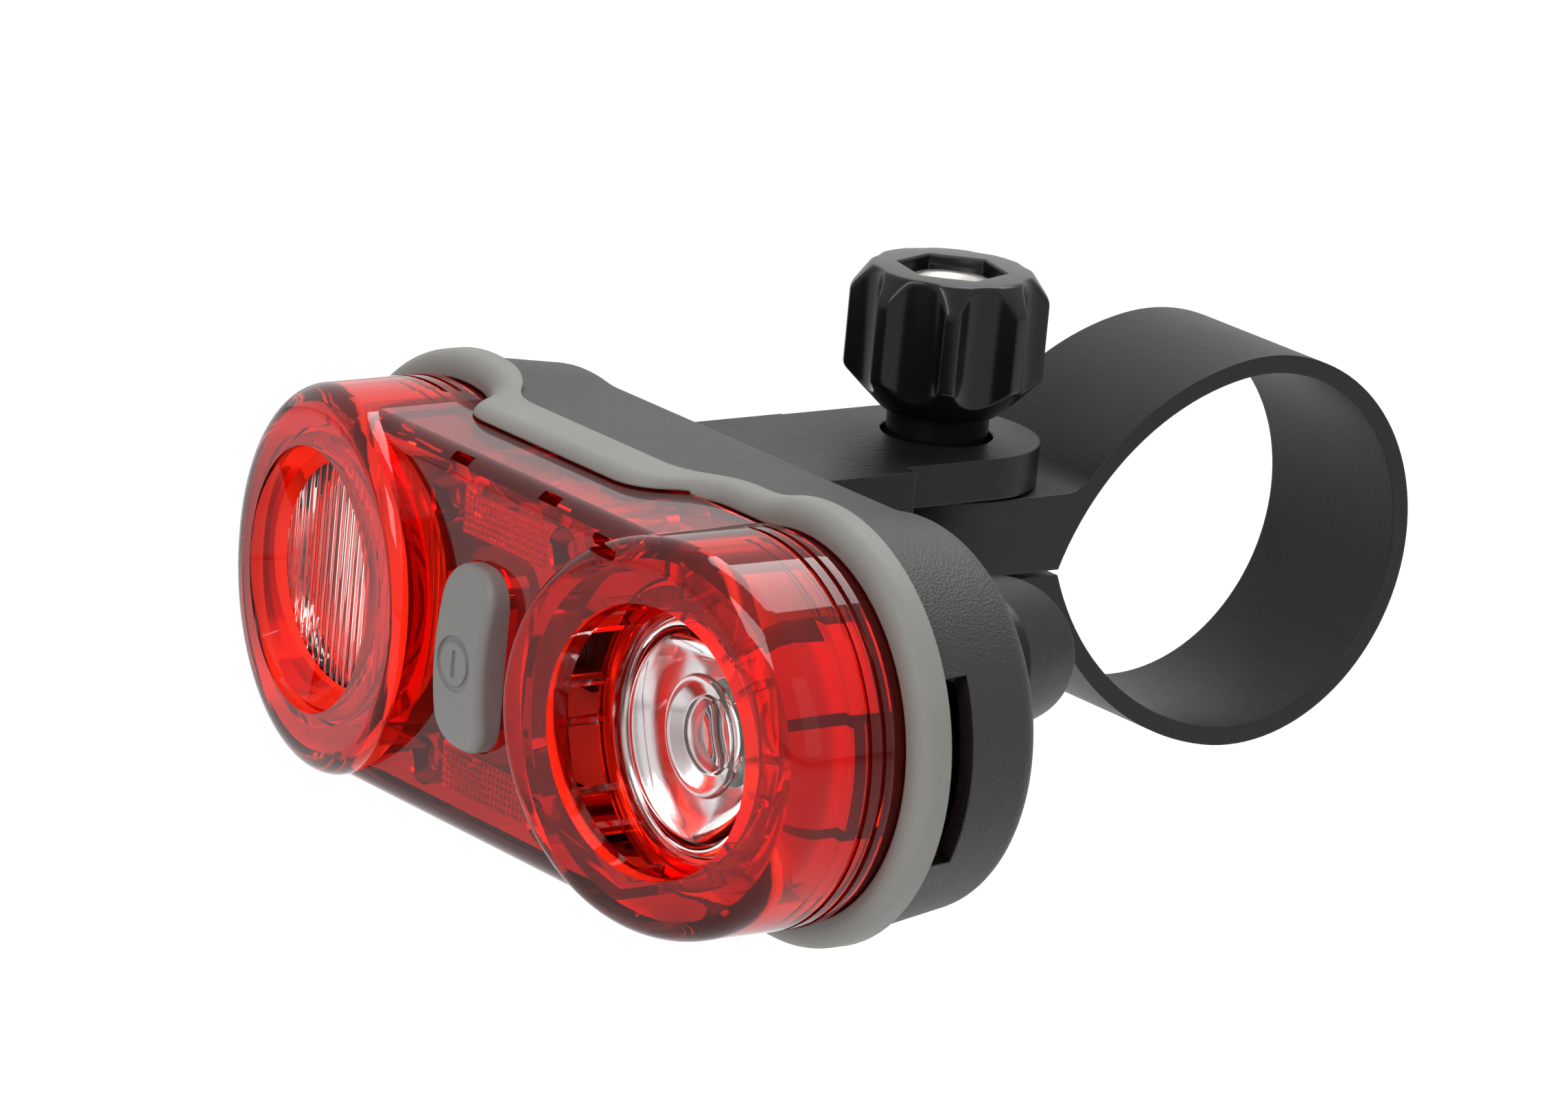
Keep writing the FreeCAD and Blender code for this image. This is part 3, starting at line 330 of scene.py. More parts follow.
band_finish = moulded(
    "clamp_satin", (0.007, 0.007, 0.0073), (0.012, 0.012, 0.0125), rough=0.45, drift=0.12,
    bump=0.25, scale=1800.0, edge_radius=0.35, edge_tint=(0.02, 0.02, 0.021), specular=0.22)
bracket_finish = moulded(
    "bracket_matte", (0.0045, 0.0045, 0.0047), (0.0070, 0.0070, 0.0073), rough=0.42, drift=0.12,
    bump=0.35, scale=1600.0, edge_radius=0.3, edge_tint=(0.02, 0.02, 0.021), specular=0.2)
case_finish = moulded(
    "case_grain", (0.006, 0.006, 0.0063), (0.010, 0.010, 0.0105), rough=0.5, drift=0.10,
    bump=1.0, scale=4200.0, edge_radius=0.3, edge_tint=(0.022, 0.022, 0.023), specular=0.42)
knob_finish = moulded(
    "knob_gloss", (0.004, 0.004, 0.0042), (0.006, 0.006, 0.0063), rough=0.2, drift=0.10,
    bump=0.06, scale=900.0, edge_radius=0.3, edge_tint=(0.012, 0.012, 0.0123), specular=0.25)
print("plastics", [m.name for m in (band_finish, bracket_finish, case_finish, knob_finish)])

# %% [markdown]
# The seal and the button are grey rubber, the button a little darker. Rubber has a soft broad shine,
# tiny pores, and dust that settles in it, so its colour drifts between two greys. That is what the
# plastics' function does, so rubber is one more use of it.

# %% Rubber
seal_rubber = moulded(
    "seal_rubber", (0.180, 0.180, 0.166), (0.220, 0.220, 0.203), rough=0.55, drift=0.10,
    bump=0.30, scale=1400.0, edge_radius=0.25, edge_tint=(0.18, 0.18, 0.168), specular=0.25)
button_rubber = moulded(
    "button_rubber", (0.158, 0.156, 0.148), (0.194, 0.190, 0.182), rough=0.45, drift=0.08,
    bump=0.20, scale=1700.0, edge_radius=0.3, edge_tint=(0.21, 0.207, 0.20), specular=0.25)
print("rubbers", seal_rubber.name, button_rubber.name)

# %% [markdown]
# The lens cover is a thin red shell that light passes through. Red plastic is clear plastic with a
# dye, so it is a smooth dielectric that tints what passes. The tint goes on the colour socket, and a
# faint orange-peel bump bends the reflections as a real moulding does. The index of refraction sets
# how much white ground the skin mirrors, and a low one keeps the red deep.

# %% Clear and red plastics
def clear_plastic(name, tint, deep_tint, rough, ior, bump=0.0, specular=0.5, clarity=1.0):
    """A see-through plastic with its dye."""
    material, tree, shader = new_material(name)
    grain = use_group(tree, grain_group, Scale=300.0, Mottle=60.0)
    shine = use_group(tree, shine_group, Roughness=rough, Drift=rough * 0.5, Scale=70.0)
    base = mix_colours(tree, grain.outputs["Tone"], tint, deep_tint)
    wire_shader(tree, shader, base, shine, grain, bump, PLASTIC_BUMP)
    shader.inputs["Transmission Weight"].default_value = clarity
    shader.inputs["Specular IOR Level"].default_value = specular
    shader.inputs["IOR"].default_value = ior
    return material


# Painted shade: the colour is darkened in the cover's under side and left end for the dark insides that these
# thick walls bend in to view, along with the deeper red of thick plastic.
THICK_AND_PAINTED_SHADE = dict(under=(-14.6, -12.8), left=(-23.8, -20.5), behind=(-84.6, -83.0), tint=(0.22, 0.004, 0.002))


def red_with_painted_shade():
    """The cover's red, darker in its under side and its left end: a deeper red where the moulding is thick,
    and painted shade for the dark insides that these thick walls show.
    """
    material = clear_plastic("red_lens_plastic", tint=(0.93, 0.024, 0.007), deep_tint=(0.86, 0.014, 0.004),
                             rough=0.03, ior=1.33, bump=0.02, clarity=0.97)
    tree = material.node_tree
    place = object_place(tree)
    under = ramp(tree, place["Z"], THICK_AND_PAINTED_SHADE["under"], (0.8, 0.0))
    left = ramp(tree, place["X"], THICK_AND_PAINTED_SHADE["left"], (0.9, 0.0))
    behind = ramp(tree, place["Y"], THICK_AND_PAINTED_SHADE["behind"], (0.0, 1.0))
    thick_and_painted_shade = math_node(tree, "MULTIPLY", math_node(tree, "MAXIMUM", under, left), behind)
    colour_over(material, thick_and_painted_shade, THICK_AND_PAINTED_SHADE["tint"])
    return material


CLEAR_TINT = (0.99, 0.975, 0.975)
CLEAR_DEEP = (0.98, 0.96, 0.965)
red_finish = red_with_painted_shade()
clear_finish = clear_plastic("clear_lens_plastic", CLEAR_TINT, CLEAR_DEEP, rough=0.02, ior=1.49)
cage_finish = clear_plastic("cage_red_plastic", tint=(0.88, 0.018, 0.005), deep_tint=(0.84, 0.014, 0.004),
                            rough=0.05, ior=1.45, bump=0.02, specular=0.1, clarity=0.94)
print("clear plastics", red_finish.name, clear_finish.name, cage_finish.name)

# %% [markdown]
# The screws, the contacts and the bolt are plated metal, the diodes mirror light much as metal does,
# and the cup behind the left lamp is a true mirror. A metal shader colours its own reflections, so
# its tint is the plating's. The left lamp's far side glows red, because the cup mirrors the red lens
# around it. The mirror alone shows too little of that, so a ramp paints a red reflection in to the
# colours of the cup and of the pane in front of it.

# %% Metals, and the painted red reflection of the left lamp
METAL_BUMP = 0.05
DULL_PART = 0.85
RED_REFLECTION_SPAN = (-18.0, -6.0)


def metal(name, colour, rough, bump, scale):
    """A plated metal with fine uneven shine."""
    material, tree, shader = new_material(name)
    grain = use_group(tree, grain_group, Scale=scale, Mottle=200.0)
    shine = use_group(tree, shine_group, Roughness=rough, Drift=0.12, Scale=260.0)
    edge = use_group(tree, edge_group, Radius=0.2 * MM)
    dull = tuple(part * DULL_PART for part in colour)
    tone = mix_colours(tree, grain.outputs["Tone"], dull, colour)
    wire_shader(tree, shader, tone, shine, grain, bump, METAL_BUMP, edge)
    shader.inputs["Metallic"].default_value = 1.0
    return material


def paint_red_reflection(material, colour, share):
    """Paints a red reflection of the lens around it on the far side of the left lamp's clear or bright part.
    """
    tree = material.node_tree
    colour_over(material, ramp(tree, object_place(tree)["X"], RED_REFLECTION_SPAN, (share, 0.0)), colour)
    return material


nickel_finish = metal("nickel_plate", (0.72, 0.70, 0.66), rough=0.26, bump=0.15, scale=900.0)
diode_finish = metal("diode_resin", (0.95, 0.95, 0.93), rough=0.4, bump=0.0, scale=500.0)
# Painted reflection: the cup's far side is coloured red and the pane's far side pink, for the red lens around
# them that they mirror and pass.
mirror_finish = paint_red_reflection(metal("mirror_plate", (1.0, 0.98, 0.98), rough=0.32, bump=0.03, scale=500.0),
                          (1.0, 0.16, 0.11), 1.0)
pane_finish = paint_red_reflection(clear_plastic("pane_plastic", CLEAR_TINT, CLEAR_DEEP, rough=0.02, ior=1.40),
                        (1.0, 0.42, 0.36), 0.45)
print("metals", [m.name for m in (nickel_finish, diode_finish, mirror_finish)], "pane", pane_finish.name)

# %% [markdown]
# The inner frame is dark plastic that is silvered in places: on the plate between the lamps, on the
# snap tongues at its ends, and inside the lamp holders, where it is a mirror. It is one solid, so
# masks choose the places. Each is a plain test of how deep, how high or how far out a spot lies, and
# tests are joined by multiplying, where all have to hold, or by taking the largest, where one is enough.

# %% Silvered frame
SILVER = dict(colour=(0.90, 0.88, 0.88), rim=13.35, bowl=12.8, bowl_shine=0.2, tongue_from=5.0,
              tongue_to=11.0, tongue_depth=12.6, middle_height=4.1, middle_depth=10.1, fade=(8.0, 9.0),
              fade_share=0.6, plate_depth=12.25, plate_half=12.0)


def over(tree, value, limit):
    """A mask that holds where a value in metres is over a limit in millimetres."""
    return math_node(tree, "GREATER_THAN", value, limit * MM)


def under(tree, value, limit):
    """A mask that holds where a value in metres is under a limit in millimetres."""
    return math_node(tree, "LESS_THAN", value, limit * MM)


def joined(tree, operation, first, *more):
    """One mask from several: their product holds where all do, their maximum where one does."""
    for mask in more:
        first = math_node(tree, operation, first, mask)
    return first


def distance_from(tree, place, span):
    """How far a spot is from the axis that lies a span from the light's middle, in metres."""
    across = math_node(tree, "SUBTRACT", place["X"], LIGHT.x + span * MM)
    squares = math_node(tree, "ADD", math_node(tree, "MULTIPLY", across, across),
                        math_node(tree, "MULTIPLY", place["Z"], place["Z"]))
    return math_node(tree, "SQRT", squares)


def silver_masks(tree):
    """A mask for the insides of the lamp holders, and one for all that is silvered."""
    s = SILVER
    place = object_place(tree)
    depth = math_node(tree, "SUBTRACT", place["Y"], LIGHT.y)
    height = math_node(tree, "ABSOLUTE", place["Z"])
    across = math_node(tree, "ABSOLUTE", math_node(tree, "SUBTRACT", place["X"], LIGHT.x))
    rims = [over(tree, distance_from(tree, place, side * TURRET_SPAN), s["rim"]) for side in (-1, 1)]
    bowls = [under(tree, distance_from(tree, place, side * LAMP_SPAN), s["bowl"]) for side in (-1, 1)]
    high = joined(tree, "MULTIPLY", over(tree, height, s["tongue_from"]), under(tree, height, s["tongue_to"]),
                  under(tree, depth, s["tongue_depth"]))
    middle = joined(tree, "MULTIPLY", under(tree, height, s["middle_height"]),
                    under(tree, depth, s["middle_depth"]))
    tongues = joined(tree, "MULTIPLY", *rims, over(tree, across, TURRET_SPAN),
                     joined(tree, "MAXIMUM", high, middle),
                     ramp(tree, depth, s["fade"], (s["fade_share"], 1.0)))
    plate = joined(tree, "MULTIPLY", under(tree, depth, s["plate_depth"]),
                   under(tree, across, s["plate_half"]))
    bowl = joined(tree, "MAXIMUM", *bowls)
    return bowl, joined(tree, "MAXIMUM", tongues, bowl, plate)


def silvered_frame():
    """The inner frame's dark plastic with its silvered places."""
    material = moulded(
        "silvered_frame", (0.030, 0.028, 0.027), (0.045, 0.042, 0.040), rough=0.35, drift=0.1,
        bump=0.02, scale=1200.0, edge_radius=0.2, edge_tint=(0.05, 0.047, 0.045), specular=0.12)
    tree = material.node_tree
    shader = tree.nodes["Principled BSDF"]
    bowl, silver = silver_masks(tree)
    colour_over(material, silver, SILVER["colour"])
    shine = shader.inputs["Roughness"].links[0].from_socket
    smoother = math_node(tree, "MULTIPLY", bowl, SILVER["bowl_shine"])
    feed(tree, shader.inputs["Roughness"], math_node(tree, "SUBTRACT", shine, smoother))
    feed(tree, shader.inputs["Metallic"], bowl)
    return material


frame_finish = silvered_frame()
print("frame", frame_finish.name, len(frame_finish.node_tree.nodes), "nodes")

# %% [markdown]
# The small parts inside show only as tones through the red lens. They still get true finishes, because
# the cover pulls off: a green board, black chips and cells in a dark film. Then each solid gets its
# finish by name.

# %% Small parts, and a finish for each solid
board_finish = moulded(
    "board_lacquer", (0.012, 0.10, 0.04), (0.02, 0.14, 0.06), rough=0.35, drift=0.1,
    bump=0.2, scale=900.0, edge_radius=0.1, edge_tint=(0.1, 0.14, 0.08))
chip_finish = moulded(
    "chip_black", (0.012, 0.012, 0.012), (0.02, 0.02, 0.02), rough=0.5, drift=0.1,
    bump=0.3, scale=2500.0, edge_radius=0.1, edge_tint=(0.04, 0.04, 0.04))
cell_finish = moulded(
    "cell_wrap", (0.05, 0.055, 0.065), (0.07, 0.075, 0.085), rough=0.3, drift=0.1,
    bump=0.1, scale=500.0, edge_radius=0.2, edge_tint=(0.12, 0.12, 0.13))
WEARERS = (
    (band_finish, "clamp_band"),
    (knob_finish, "clamp_knob"),
    (bracket_finish, "bracket", "release_lever"),
    (case_finish, "rear_case"),
    (seal_rubber, "gasket"),
    (button_rubber, "power_button"),
    (red_finish, "lens_cover"),
    (cage_finish, "lamp_cage"),
    (pane_finish, "fluted_lens"),
    (clear_finish, "collimator_lens"),
    (mirror_finish, "reflector"),
    (frame_finish, "carrier"),
    (board_finish, "circuit_board"),
    (chip_finish, "switch_body", "board_chips"),
    (diode_finish, "led_left", "led_right"),
    (cell_finish, "battery_upper", "battery_lower"),
    (nickel_finish, "clamp_nut", "thrust_washer", "clamp_bolt", "contact_plates", "contact_springs",
     "switch_plunger", "carrier_screws"),
)
dressed = []
for finish, *names in WEARERS:
    for name in names:
        nodes[name].data.materials.clear()
        nodes[name].data.materials.append(finish)
    dressed += names
print("dressed", len(dressed), "solids of", len(nodes))

# %% [markdown]
# The cover's solid is right, but where two fine step lines leave a narrow strip of the right turret
# between them, its mesh has long triangles that cut across the curve. A copy of the mesh, merged first,
# gets that strip laid out again: the points of its two rims are sorted by their turn round the turret's
# axis and joined in order. Every other face keeps its place and its normals, and a mesh whose strip
# is made of anything else than the two rims' points keeps its own faces there as well.

# %% Cover with its strip laid out again
STRIP = dict(radius=16.5, near=10.7, far=11.6, depth_slack=0.01, radius_slack=0.02)
SPOT_DIGITS = 7


def ride_piece(name, mesh, body, *solids):
    """An object of the mesh, riding on its body in place of the named solids."""
    piece = bpy.data.objects.new(name, mesh)
    bpy.context.scene.collection.objects.link(piece)
    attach(piece, body)
    if solids:
        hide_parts(*solids)
    print(name, len(mesh.polygons), "faces on", body)


def strip_turn(spot):
    """The turn of a spot on the strip's rims round the turret's axis, or nothing for any other spot."""
    x, y, z = (spot - LIGHT) / MM
    side = x - TURRET_SPAN
    on_rim = min(abs(y - STRIP["near"]), abs(y - STRIP["far"])) < STRIP["depth_slack"]
    on_turret = abs(math.hypot(side, z) - STRIP["radius"]) < STRIP["radius_slack"]
    return math.atan2(z, side) if on_rim and on_turret else None


def merged(mesh):
    """The mesh's places without doubles, and its triangles with their corners' normals."""
    seen = {}
    spots = []
    index = []
    for vertex in mesh.vertices:
        key = tuple(round(v, SPOT_DIGITS) for v in vertex.co)
        if key not in seen:
            seen[key] = len(spots)
            spots.append(vertex.co.copy())
        index.append(seen[key])
    faces = [(tuple(index[v] for v in face.vertices),
              [mesh.corner_normals[i].vector.copy() for i in face.loop_indices]) for face in mesh.polygons]
    return spots, faces


def outward(corners, spots, turns):
    """A face of the strip with its corners in the order that points it out, and their normals."""
    normals = [Vector((math.cos(turns[v]), 0.0, math.sin(turns[v]))) for v in corners]
    first, second, third = (spots[v] for v in corners)
    if (second - first).cross(third - first).dot(normals[0]) < 0.0:
        return tuple(reversed(corners)), normals[::-1]
    return tuple(corners), normals


def lay_strip(strip, spots, turns):
    """The strip's triangles with its rims' points joined in order, if it has no other points."""
    used = sorted({v for corners, _ in strip for v in corners}, key=lambda v: turns[v])
    middle = LIGHT.y + 0.5 * (STRIP["near"] + STRIP["far"]) * MM
    near = [v for v in used if spots[v].y < middle]
    far = [v for v in used if spots[v].y >= middle]
    if not (near and far) or len(near) + len(far) - 2 != len(strip):
        return strip
    laid = []
    while len(near) > 1 or len(far) > 1:
        take_near = len(far) < 2 or (len(near) > 1 and turns[near[1]] <= turns[far[1]])
        corners = [near[0], far[0], near[1] if take_near else far[1]]
        laid.append(outward(corners, spots, turns))
        (near if take_near else far).pop(0)
    return laid


def build_cover():
    """The cover's mesh with the two rims of the strip joined in order."""
    spots, faces = merged(nodes["lens_cover"].data)
    turns = [strip_turn(spot) for spot in spots]
    strip = [face for face in faces if all(turns[v] is not None for v in face[0])]
    kept = [face for face in faces if any(turns[v] is None for v in face[0])]
    kept += lay_strip(strip, spots, turns)
    mesh = bpy.data.meshes.new("red_cover")
    mesh.from_pydata(spots, [], [corners for corners, _ in kept])
    mesh.polygons.foreach_set("use_smooth", [True] * len(mesh.polygons))
    mesh.normals_split_custom_set([normal for _, normals in kept for normal in normals])
    mesh.materials.append(red_finish)
    print("strip", len(strip), "faces of", len(faces))
    return mesh


ride_piece("red_cover", build_cover(), "front_module", "lens_cover")

# %% [markdown]
# Some pieces show more than their solids can: the knob's flutes run out in soft edges, and the bolt
# has a thread. All of these are shapes round an axis, so one helper builds them. It takes loops of
# points, each point a distance from the axis and a height in millimetres, and joins neighbouring loops
# with quads. A loop of no size becomes one point, which closes the end.

# %% Shapes from loops
HEX_TURN = math.radians(47.5)
NO_SIZE = 1e-6


def shade(bm, sharp_angle):
    """Smooth faces, with the edges that bend more than the angle left sharp."""
    bmesh.ops.recalc_face_normals(bm, faces=bm.faces)
    for face in bm.faces:
        face.smooth = True
    for edge in bm.edges:
        edge.smooth = edge.calc_face_angle(0.0) < math.radians(sharp_angle)


def as_piece(name, bm, finish, body, *solids):
    """Turns a finished bmesh to a mesh with its finish, and sets it on its body."""
    mesh = bpy.data.meshes.new(name)
    bm.to_mesh(mesh)
    bm.free()
    mesh.materials.append(finish)
    ride_piece(name, mesh, body, *solids)


def loop_turns(count):
    """The turns of a loop's points, with the first at a corner of the bolt's head."""
    return [HEX_TURN + 2.0 * math.pi * k / count for k in range(count)]


def join_loops(loops, place, closed):
    """A mesh that runs through the loops; place turns a point's distance, turn and height to a spot."""
    bm = bmesh.new()
    count = len(loops[0])
    rows = []
    for loop in loops:
        if max(distance for distance, _ in loop) < NO_SIZE:
            rows.append([bm.verts.new(place(0.0, 0.0, loop[0][1]))] * count)
        else:
            rows.append([bm.verts.new(place(d, t, h)) for (d, h), t in zip(loop, loop_turns(count))])
    pairs = list(zip(rows, rows[1:])) + ([(rows[-1], rows[0])] if closed else [])
    for low, high in pairs:
        for k in range(count):
            ring = (low[k], low[(k + 1) % count], high[(k + 1) % count], high[k])
            bm.faces.new([v for i, v in enumerate(ring) if v not in ring[:i]])
    return bm


def about_pivot(distance, turn, height):
    """A spot round the knob's upright axis."""
    return PIVOT + Vector((distance * math.cos(turn), distance * math.sin(turn), height)) * MM


def parts(steps, first=0):
    """The shares of a whole that equal steps reach."""
    return [i / steps for i in range(first, steps + 1)]


def soft_min(a, b, blend):
    """The smaller of two values, with a smooth change from one to the other."""
    near = max(blend - abs(a - b), 0.0) / blend
    return min(a, b) - near * near * blend / 4.0


def round_loop(count, radius, height):
    """A circle."""
    return [(radius, height)] * count


def hex_loop(count, flats, height, limit=math.inf):
    """A hexagon with a corner at the first point, cut off at a limit radius."""
    sixth = math.pi / 3.0
    turns = [(2.0 * math.pi * k / count) % sixth - sixth / 2.0 for k in range(count)]
    return [(min(flats / 2.0 / math.cos(turn), limit), height) for turn in turns]


print("six-sided loop of 12 points", [round(d, 2) for d, _ in hex_loop(12, 8.2, 0.0)])

# %% [markdown]
# The knob's outline is a rule: a cone up to the grip, the grip, a shoulder cone, and eight round flutes
# cut in all of them. Taking a soft minimum of these distances at each turn and height gives the whole
# form with its rounded edges at once, where a bevel on the sharp solid would break at the flute ends.

# %% Fluted knob
KNOB = dict(flutes=8, first=10.0, grip=8.62, foot=5.2, top=7.0, foot_z=13.2, skirt_z=16.4, shoulder_z=23.4,
            top_z=25.6, flute_r=3.34, flute_depth=1.77, neck=4.45, neck_z=9.3, pocket=8.2, pocket_z=21.1,
            bore=2.6, edge=0.34, lip=0.22, neck_edge=0.12, fillet=0.3, fillet_side=0.1,
            fillet_drop=0.08, pocket_flare=0.25, pocket_flare_z=0.15, points=360, rows=88, lip_rows=6)


def knob_distance(turn, height):
    """How far the knob's skin is from its axis."""
    k = KNOB
    rising = k["foot"] + (height - k["foot_z"]) * (k["grip"] - k["foot"]) / (k["skirt_z"] - k["foot_z"])
    falling = k["top"] + (k["top_z"] - height) * (k["grip"] - k["top"]) / (k["top_z"] - k["shoulder_z"])
    skin = soft_min(soft_min(rising, k["grip"], k["edge"]), falling, k["edge"])
    step = 2.0 * math.pi / k["flutes"]
    away = (turn - math.radians(k["first"])) % step - step / 2.0
    reach = k["grip"] - k["flute_depth"] + k["flute_r"]
    side = reach * math.sin(away)
    if abs(side) >= k["flute_r"]:
        return skin
    flute = reach * math.cos(away) - math.sqrt(k["flute_r"] ** 2 - side ** 2)
    return soft_min(skin, flute, k["edge"])


def knob_inside():
    """The knob's plain loops: the pocket for the bolt's head, the bore, and the neck up to the foot."""
    k = KNOB
    count = k["points"]
    neck_loops = [
        (k["bore"], k["pocket_z"]), (k["bore"], k["neck_z"]), (k["neck"] - k["neck_edge"], k["neck_z"]),
        (k["neck"], k["neck_z"] + k["neck_edge"]), (k["neck"], k["foot_z"] - k["fillet"]),
        (k["neck"] + k["fillet_side"], k["foot_z"] - k["fillet_drop"]),
        (k["neck"] + k["fillet"], k["foot_z"]),
    ]
    pocket = [
        hex_loop(count, k["pocket"] + k["pocket_flare"], k["top_z"]),
        hex_loop(count, k["pocket"], k["top_z"] - k["pocket_flare_z"]),
        hex_loop(count, k["pocket"], k["pocket_z"]),
    ]
    return pocket + [round_loop(count, radius, height) for radius, height in neck_loops]


def build_knob():
    """The inside, then the fluted outside from the foot to the top, and the rounded lip."""
    k = KNOB
    turns = loop_turns(k["points"])
    lip_z = k["top_z"] - k["lip"]
    loops = knob_inside()
    for part in parts(k["rows"]):
        height = k["foot_z"] + (lip_z - k["foot_z"]) * part
        loops.append([(knob_distance(turn, height), height) for turn in turns])
    for part in parts(k["lip_rows"], 1):
        bend = math.pi / 2.0 * part
        height = lip_z + k["lip"] * math.sin(bend)
        drop = k["lip"] * (1.0 - math.cos(bend))
        loops.append([(knob_distance(turn, height) - drop, height) for turn in turns])
    bm = join_loops(loops, about_pivot, True)
    shade(bm, sharp_angle=32.0)
    as_piece("fluted_knob", bm, knob_finish, "knob", "clamp_knob")


build_knob()

# %% [markdown]
# The bolt is the same kind of shape. Its thread is a groove that climbs by one pitch in each turn, so
# the distance from the axis depends on height and turn together.

# %% Threaded bolt
BOLT = dict(shank=2.5, pitch=0.8, groove=0.42, groove_slope=2.4, low=-12.0, tip=1.6, chamfer=1.95,
            thread_top=-5.6, flats=8.0, base=21.1, top=24.5, bevel=1.05, cap=3.6, cap_edge=0.2, dish=2.6,
            dish_depth=0.5, points=96, thread_rows=80, bevel_rows=10, dish_rows=8)


def thread_distance(turn, height):
    """The shank's radius with the thread's groove taken out."""
    climb = (height / BOLT["pitch"] - turn / (2.0 * math.pi)) % 1.0
    groove = BOLT["groove"] * max(0.0, 1.0 - BOLT["groove_slope"] * abs(climb - 0.5))
    ends = min(1.0, (BOLT["thread_top"] - height) / BOLT["pitch"])
    return BOLT["shank"] - groove * max(ends, 0.0)


def build_bolt():
    """Thread, shank, bevelled six-sided head and the shallow dish in it."""
    b = BOLT
    count = b["points"]
    loops = [round_loop(count, 0.0, b["low"]), round_loop(count, b["tip"], b["low"])]
    for part in parts(b["thread_rows"]):
        height = b["low"] + (b["thread_top"] - b["low"]) * part
        chamfer = b["chamfer"] + (height - b["low"])
        loops.append([(min(thread_distance(turn, height), chamfer), height) for turn in loop_turns(count)])
    loops += [round_loop(count, b["shank"], b["base"]), hex_loop(count, b["flats"], b["base"])]
    for part in parts(b["bevel_rows"]):
        height = b["top"] - b["bevel"] + b["bevel"] * part
        loops.append(hex_loop(count, b["flats"], height, b["cap"] + b["top"] - height))
    loops.append(round_loop(count, b["cap"] - b["cap_edge"], b["top"]))
    for part in parts(b["dish_rows"]):
        radius = b["dish"] * (1.0 - part)
        sunk = b["dish_depth"] * (1.0 - (radius / b["dish"]) ** 2)
        loops.append(round_loop(count, radius, b["top"] - sunk))
    bm = join_loops(loops, about_pivot, False)
    shade(bm, sharp_angle=30.0)
    as_piece("threaded_bolt", bm, nickel_finish, "knob", "clamp_bolt")


build_bolt()

# %% [markdown]
# The right lamp looks through a collimator, a clear block that bends the diode's light in to a beam.
# Its sides are a curved bowl, not a cone: the light that the curve throws back and forth gives the
# bright rings round the middle. The solid is a plain cone, so the scene's own bowl stands for it. Its
# outline is a list of distances and depths, with the round stretches worked out by formulas.

# %% Collimator
BOWL = dict(front=5.0, dome=3.25, dome_ball=4.84, dome_steps=12, dish=5.1, dish_width=3.4, dish_depth=5.75,
            dish_rise=0.6, dish_swell=0.25, dish_steps=8, back=6.2, foot=3.6, spread=6.3, length=5.95,
            curve=1.15, bowl_steps=18, well=2.3, well_floor=9.2, well_swell=0.35, well_steps=6,
            points=144)
RING = ((3.35, 6.28), (3.5, 6.2), (4.3, 5.62), (4.55, 5.5), (4.8, 5.5), (5.0, 5.62), (5.1, 5.75))
FLANGE = ((8.62, 5.03), (8.75, 5.0), (9.8, 5.0), (9.9, 5.06), (9.95, 5.12), (11.3, 5.12), (11.4, 5.2),
          (11.4, 6.1), (11.3, 6.2))
WELL_MOUTH = ((3.5, 12.15), (2.4, 12.15), (2.3, 12.05), (2.3, 9.2))


def about_lamp(side):
    """Places spots round the axis of one lamp, which points back along Y."""
    centre = LIGHT + Vector((side * LAMP_SPAN * MM, 0.0, 0.0))

    def place(distance, turn, depth):
        return centre + Vector((distance * math.cos(turn), depth, distance * math.sin(turn))) * MM
    return place


def bowl_outline():
    """Dome, ring, dished face, flange, curved bowl and the well for the diode, from the axis out."""
    b = BOWL
    outline = []
    for part in parts(b["dome_steps"]):
        radius = b["dome"] * part
        outline.append((radius, b["front"] + b["dome_ball"] - math.sqrt(b["dome_ball"] ** 2 - radius ** 2)))
    outline += RING
    for part in parts(b["dish_steps"], 1):
        swell = b["dish_swell"] * math.sin(math.pi * part)
        outline.append((b["dish"] + b["dish_width"] * part, b["dish_depth"] - b["dish_rise"] * part + swell))
    outline += FLANGE
    for part in parts(b["bowl_steps"]):
        radius = b["foot"] + b["spread"] * math.sqrt(1.0 - part ** b["curve"])
        outline.append((radius, b["back"] + b["length"] * part))
    outline += WELL_MOUTH
    for part in parts(b["well_steps"], 1):
        radius = b["well"] * (1.0 - part)
        outline.append((radius, b["well_floor"] - b["well_swell"] * (1.0 - (radius / b["well"]) ** 2)))
    return outline


def build_collimator():
    """The outline, turned round the right lamp's axis."""
    loops = [round_loop(BOWL["points"], radius, depth) for radius, depth in bowl_outline()]
    bm = join_loops(loops, about_lamp(1), False)
    shade(bm, sharp_angle=40.0)
    as_piece("collimator_bowl", bm, clear_finish, "front_module", "collimator_lens")


build_collimator()

# %% [markdown]
# The collimator magnifies the diode behind it, so each diode is a smooth dome on a square foot. Its
# resin throws light back much as a small mirror does.

# %% Diodes
DIODE = dict(foot=1.75, foot_front=11.5, foot_back=12.2, foot_edge=0.08, dome=1.25, dome_steps=16, points=96)


def square_loop(count, half, depth):
    """A square, with its corners left a little soft by the loop's points."""
    return [(half / max(abs(math.cos(turn)), abs(math.sin(turn))), depth) for turn in loop_turns(count)]


